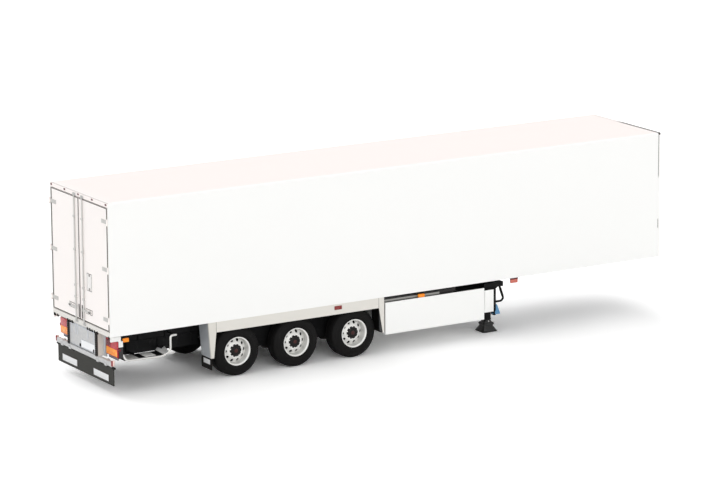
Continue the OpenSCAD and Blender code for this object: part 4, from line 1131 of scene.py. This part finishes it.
crank_low, crank_high = span("crank_handle")
crank_x, crank_y = crank_low.x, (crank_low.y + crank_high.y) / 2
crank = bmesh.new()
bent_tube(crank, [(crank_x + x, crank_y, z) for x, z in
                  ((-0.3, 19), (1.2, 19), (3.2, 20.2), (5.45, 14), (4.4, 12.8), (0, 12.8))], 0.47, 0.9)
rod(crank, (crank_x + 3.75, crank_y, 18.7), (crank_x + 5.0, crank_y, 15.2), 0.55, 20)
rod(crank, (crank_x, crank_y, 19), (crank_x + 0.7, crank_y, 19), 0.8, 20)
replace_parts(piece("folded_crank", crank, chassis_black), "crank_handle")


# ---- Side lamps ----
# Small moulded lamps along each side: amber behind the corner and on the box, red on the skirt and
# ahead of the legs. Each has a lens on a black base, and the outer ones hang on a bracket.

dull_red = Finish("dull red lens", shade(136, 42, 40), 0.24, Coat_Weight=0.3, Specular_IOR_Level=0.3)
dull_red.ridged("X", 0.3, 0.04).stained_or_lit(900, 0.4, 0.7, 0.6, shade(112, 26, 28), detail=2)
salmon_lens = Finish("salmon pink lens", shade(204, 108, 92), 0.26, Coat_Weight=0.3, Specular_IOR_Level=0.3)
salmon_lens.ridged("X", 0.3, 0.04).stained_or_lit(900, 0.4, 0.7, 0.5, shade(196, 84, 70), detail=2)

under = wall_low.z
box_x, skirt_x, front_x = leg_x - 41.2, axles[2] - 10.5, leg_x + 6
side_amber, side_red, side_bases = bmesh.new(), bmesh.new(), bmesh.new()
front_red, front_tops, skirt_lamp_bases = bmesh.new(), bmesh.new(), bmesh.new()
# Each block: its rear, inner, lower corner, then its front, outer, upper one, with y out from the side's face
for bm, first, second, edge, segments in (
        (side_amber, (5.8, -1.2, under - 2.95), (8.65, -0.3, under - 1.25), 0.35, 4),
        (side_bases, (5.7, -1.4, under - 3.0), (8.7, -0.9, under - 1.2), 0.12, 2),
        (side_bases, (6.6, -1.4, under - 1.3), (7.8, -0.9, under), 0.1, 2),
        (side_red, (skirt_x + 0.2, -0.05, under - 2.4), (skirt_x + 3.8, 0.4, under - 0.7), 0.42, 5),
        (skirt_lamp_bases, (skirt_x, -0.05, under - 2.5), (skirt_x + 4.0, 0.08, under - 0.6), 0.05, 2),
        (side_amber, (box_x + 0.2, -1.1, box_head - 0.1), (box_x + 3.5, 0.2, box_head + 1.45), 0.5, 4),
        (front_red, (front_x, -1.1, under - 2.3), (front_x + 3.6, -0.15, under - 0.55), 0.3, 4),
        (front_tops, (front_x - 0.05, -1.15, under - 0.75), (front_x + 3.65, -0.12, under), 0.12, 2)):
    on_side = Vector((0, side_y, 0))
    pair(bm, Vector(first) + on_side, Vector(second) + on_side, edge, segments)
piece("side_lamps_amber", side_amber, amber_lens)
piece("side_lamps_red", side_red, dull_red)
piece("front_side_lamps", front_red, salmon_lens)
piece("front_side_lamp_caps", front_tops, dark_red)
piece("skirt_lamp_bases", skirt_lamp_bases, skirt_grey)
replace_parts(piece("side_lamp_bases", side_bases, black_plastic), "side_lamps")


# ---- Studio floor, light and camera ----
# The model stands on a seamless white sweep under a large soft sky, with a soft lamp above and behind it
# and three weak ones round it.
# A long lens looks down on its right rear quarter.


def seen(nodes):
    """1 for what the camera, a mirror or a clear piece sees, and 0 for light that lands on matt pieces."""
    camera, glossy, clear = [nodes.add("ShaderNodeLightPath", output="Is %s Ray" % ray)
                             for ray in ("Camera", "Glossy", "Transmission")]
    return camera | glossy | clear


sweep = Finish("white studio sweep", (0.9, 0.9, 0.9), 0.9)
sweep.sheen(sweep.noise(40, 2), 0.85, 0.95)
looked_at = seen(sweep)
sweep.put(sweep.shader.inputs["Base Color"], sweep.mix(looked_at, (0.58, 0.58, 0.58), (1, 1, 1)))
bounced = sweep.tree.nodes.new("ShaderNodeBsdfDiffuse")
sweep.put(bounced.inputs["Color"], sweep.mix(looked_at, (0, 0, 0), (0.25, 0.25, 0.25)))
both = sweep.tree.nodes.new("ShaderNodeAddShader")
for shader, socket in zip((sweep.shader, bounced), both.inputs):
    sweep.tree.links.new(shader.outputs[0], socket)
sweep.tree.links.new(both.outputs[0], sweep.tree.nodes["Material Output"].inputs["Surface"])
floor_bm = bmesh.new()
bmesh.ops.create_grid(floor_bm, x_segments=8, y_segments=8, size=8)
floor_mesh = bpy.data.meshes.new("studio_floor")
floor_bm.to_mesh(floor_mesh)
floor_bm.free()
floor_mesh.materials.append(sweep.material)
studio_floor = bpy.data.objects.new("studio_floor", floor_mesh)
bpy.context.scene.collection.objects.link(studio_floor)

world = bpy.data.worlds.new("soft studio sky")
bpy.context.scene.world = world
sky = Nodes(world)
background = sky.tree.nodes["Background"]
background.inputs["Color"].default_value = (1, 1, 1, 1)
sky.put(background.inputs["Strength"], seen(sky) * 0.5 + 0.5)

for name, direction, strength, spread in (("back lamp", (0, -0.8, -1), 1.1, 45),
                                          ("side lamp", (0.2, 1, -0.15), 1.75, 60),
                                          ("rear lamp", (1, 0.15, -0.15), 1.42, 60),
                                          ("front lamp", (-1, -0.1, -0.2), 1.0, 60)):
    lamp = bpy.data.lights.new(name, "SUN")
    lamp.energy, lamp.angle = strength, math.radians(spread)
    holder = bpy.data.objects.new(name, lamp)
    holder.rotation_euler = Vector(direction).to_track_quat("-Z", "Y").to_euler()
    bpy.context.scene.collection.objects.link(holder)

camera = bpy.data.cameras.new("quarter view")
camera.lens, camera.sensor_width, camera.clip_start, camera.clip_end = 183.35, 36, 0.05, 60
eye = bpy.data.objects.new("quarter view", camera)
bearing, dip, lean = [math.radians(angle) for angle in (58.952, -12.7474, -0.3369)]
eye.matrix_world = (Matrix.Translation(at(-653.23, -1306.69, 389.32)) @ Matrix.Rotation(bearing - math.pi / 2, 4, "Z")
                    @ Matrix.Rotation(math.pi / 2 + dip, 4, "X") @ Matrix.Rotation(lean, 4, "Z"))
bpy.context.scene.collection.objects.link(eye)
bpy.context.scene.camera = eye
bpy.context.scene.view_settings.view_transform = "Standard"
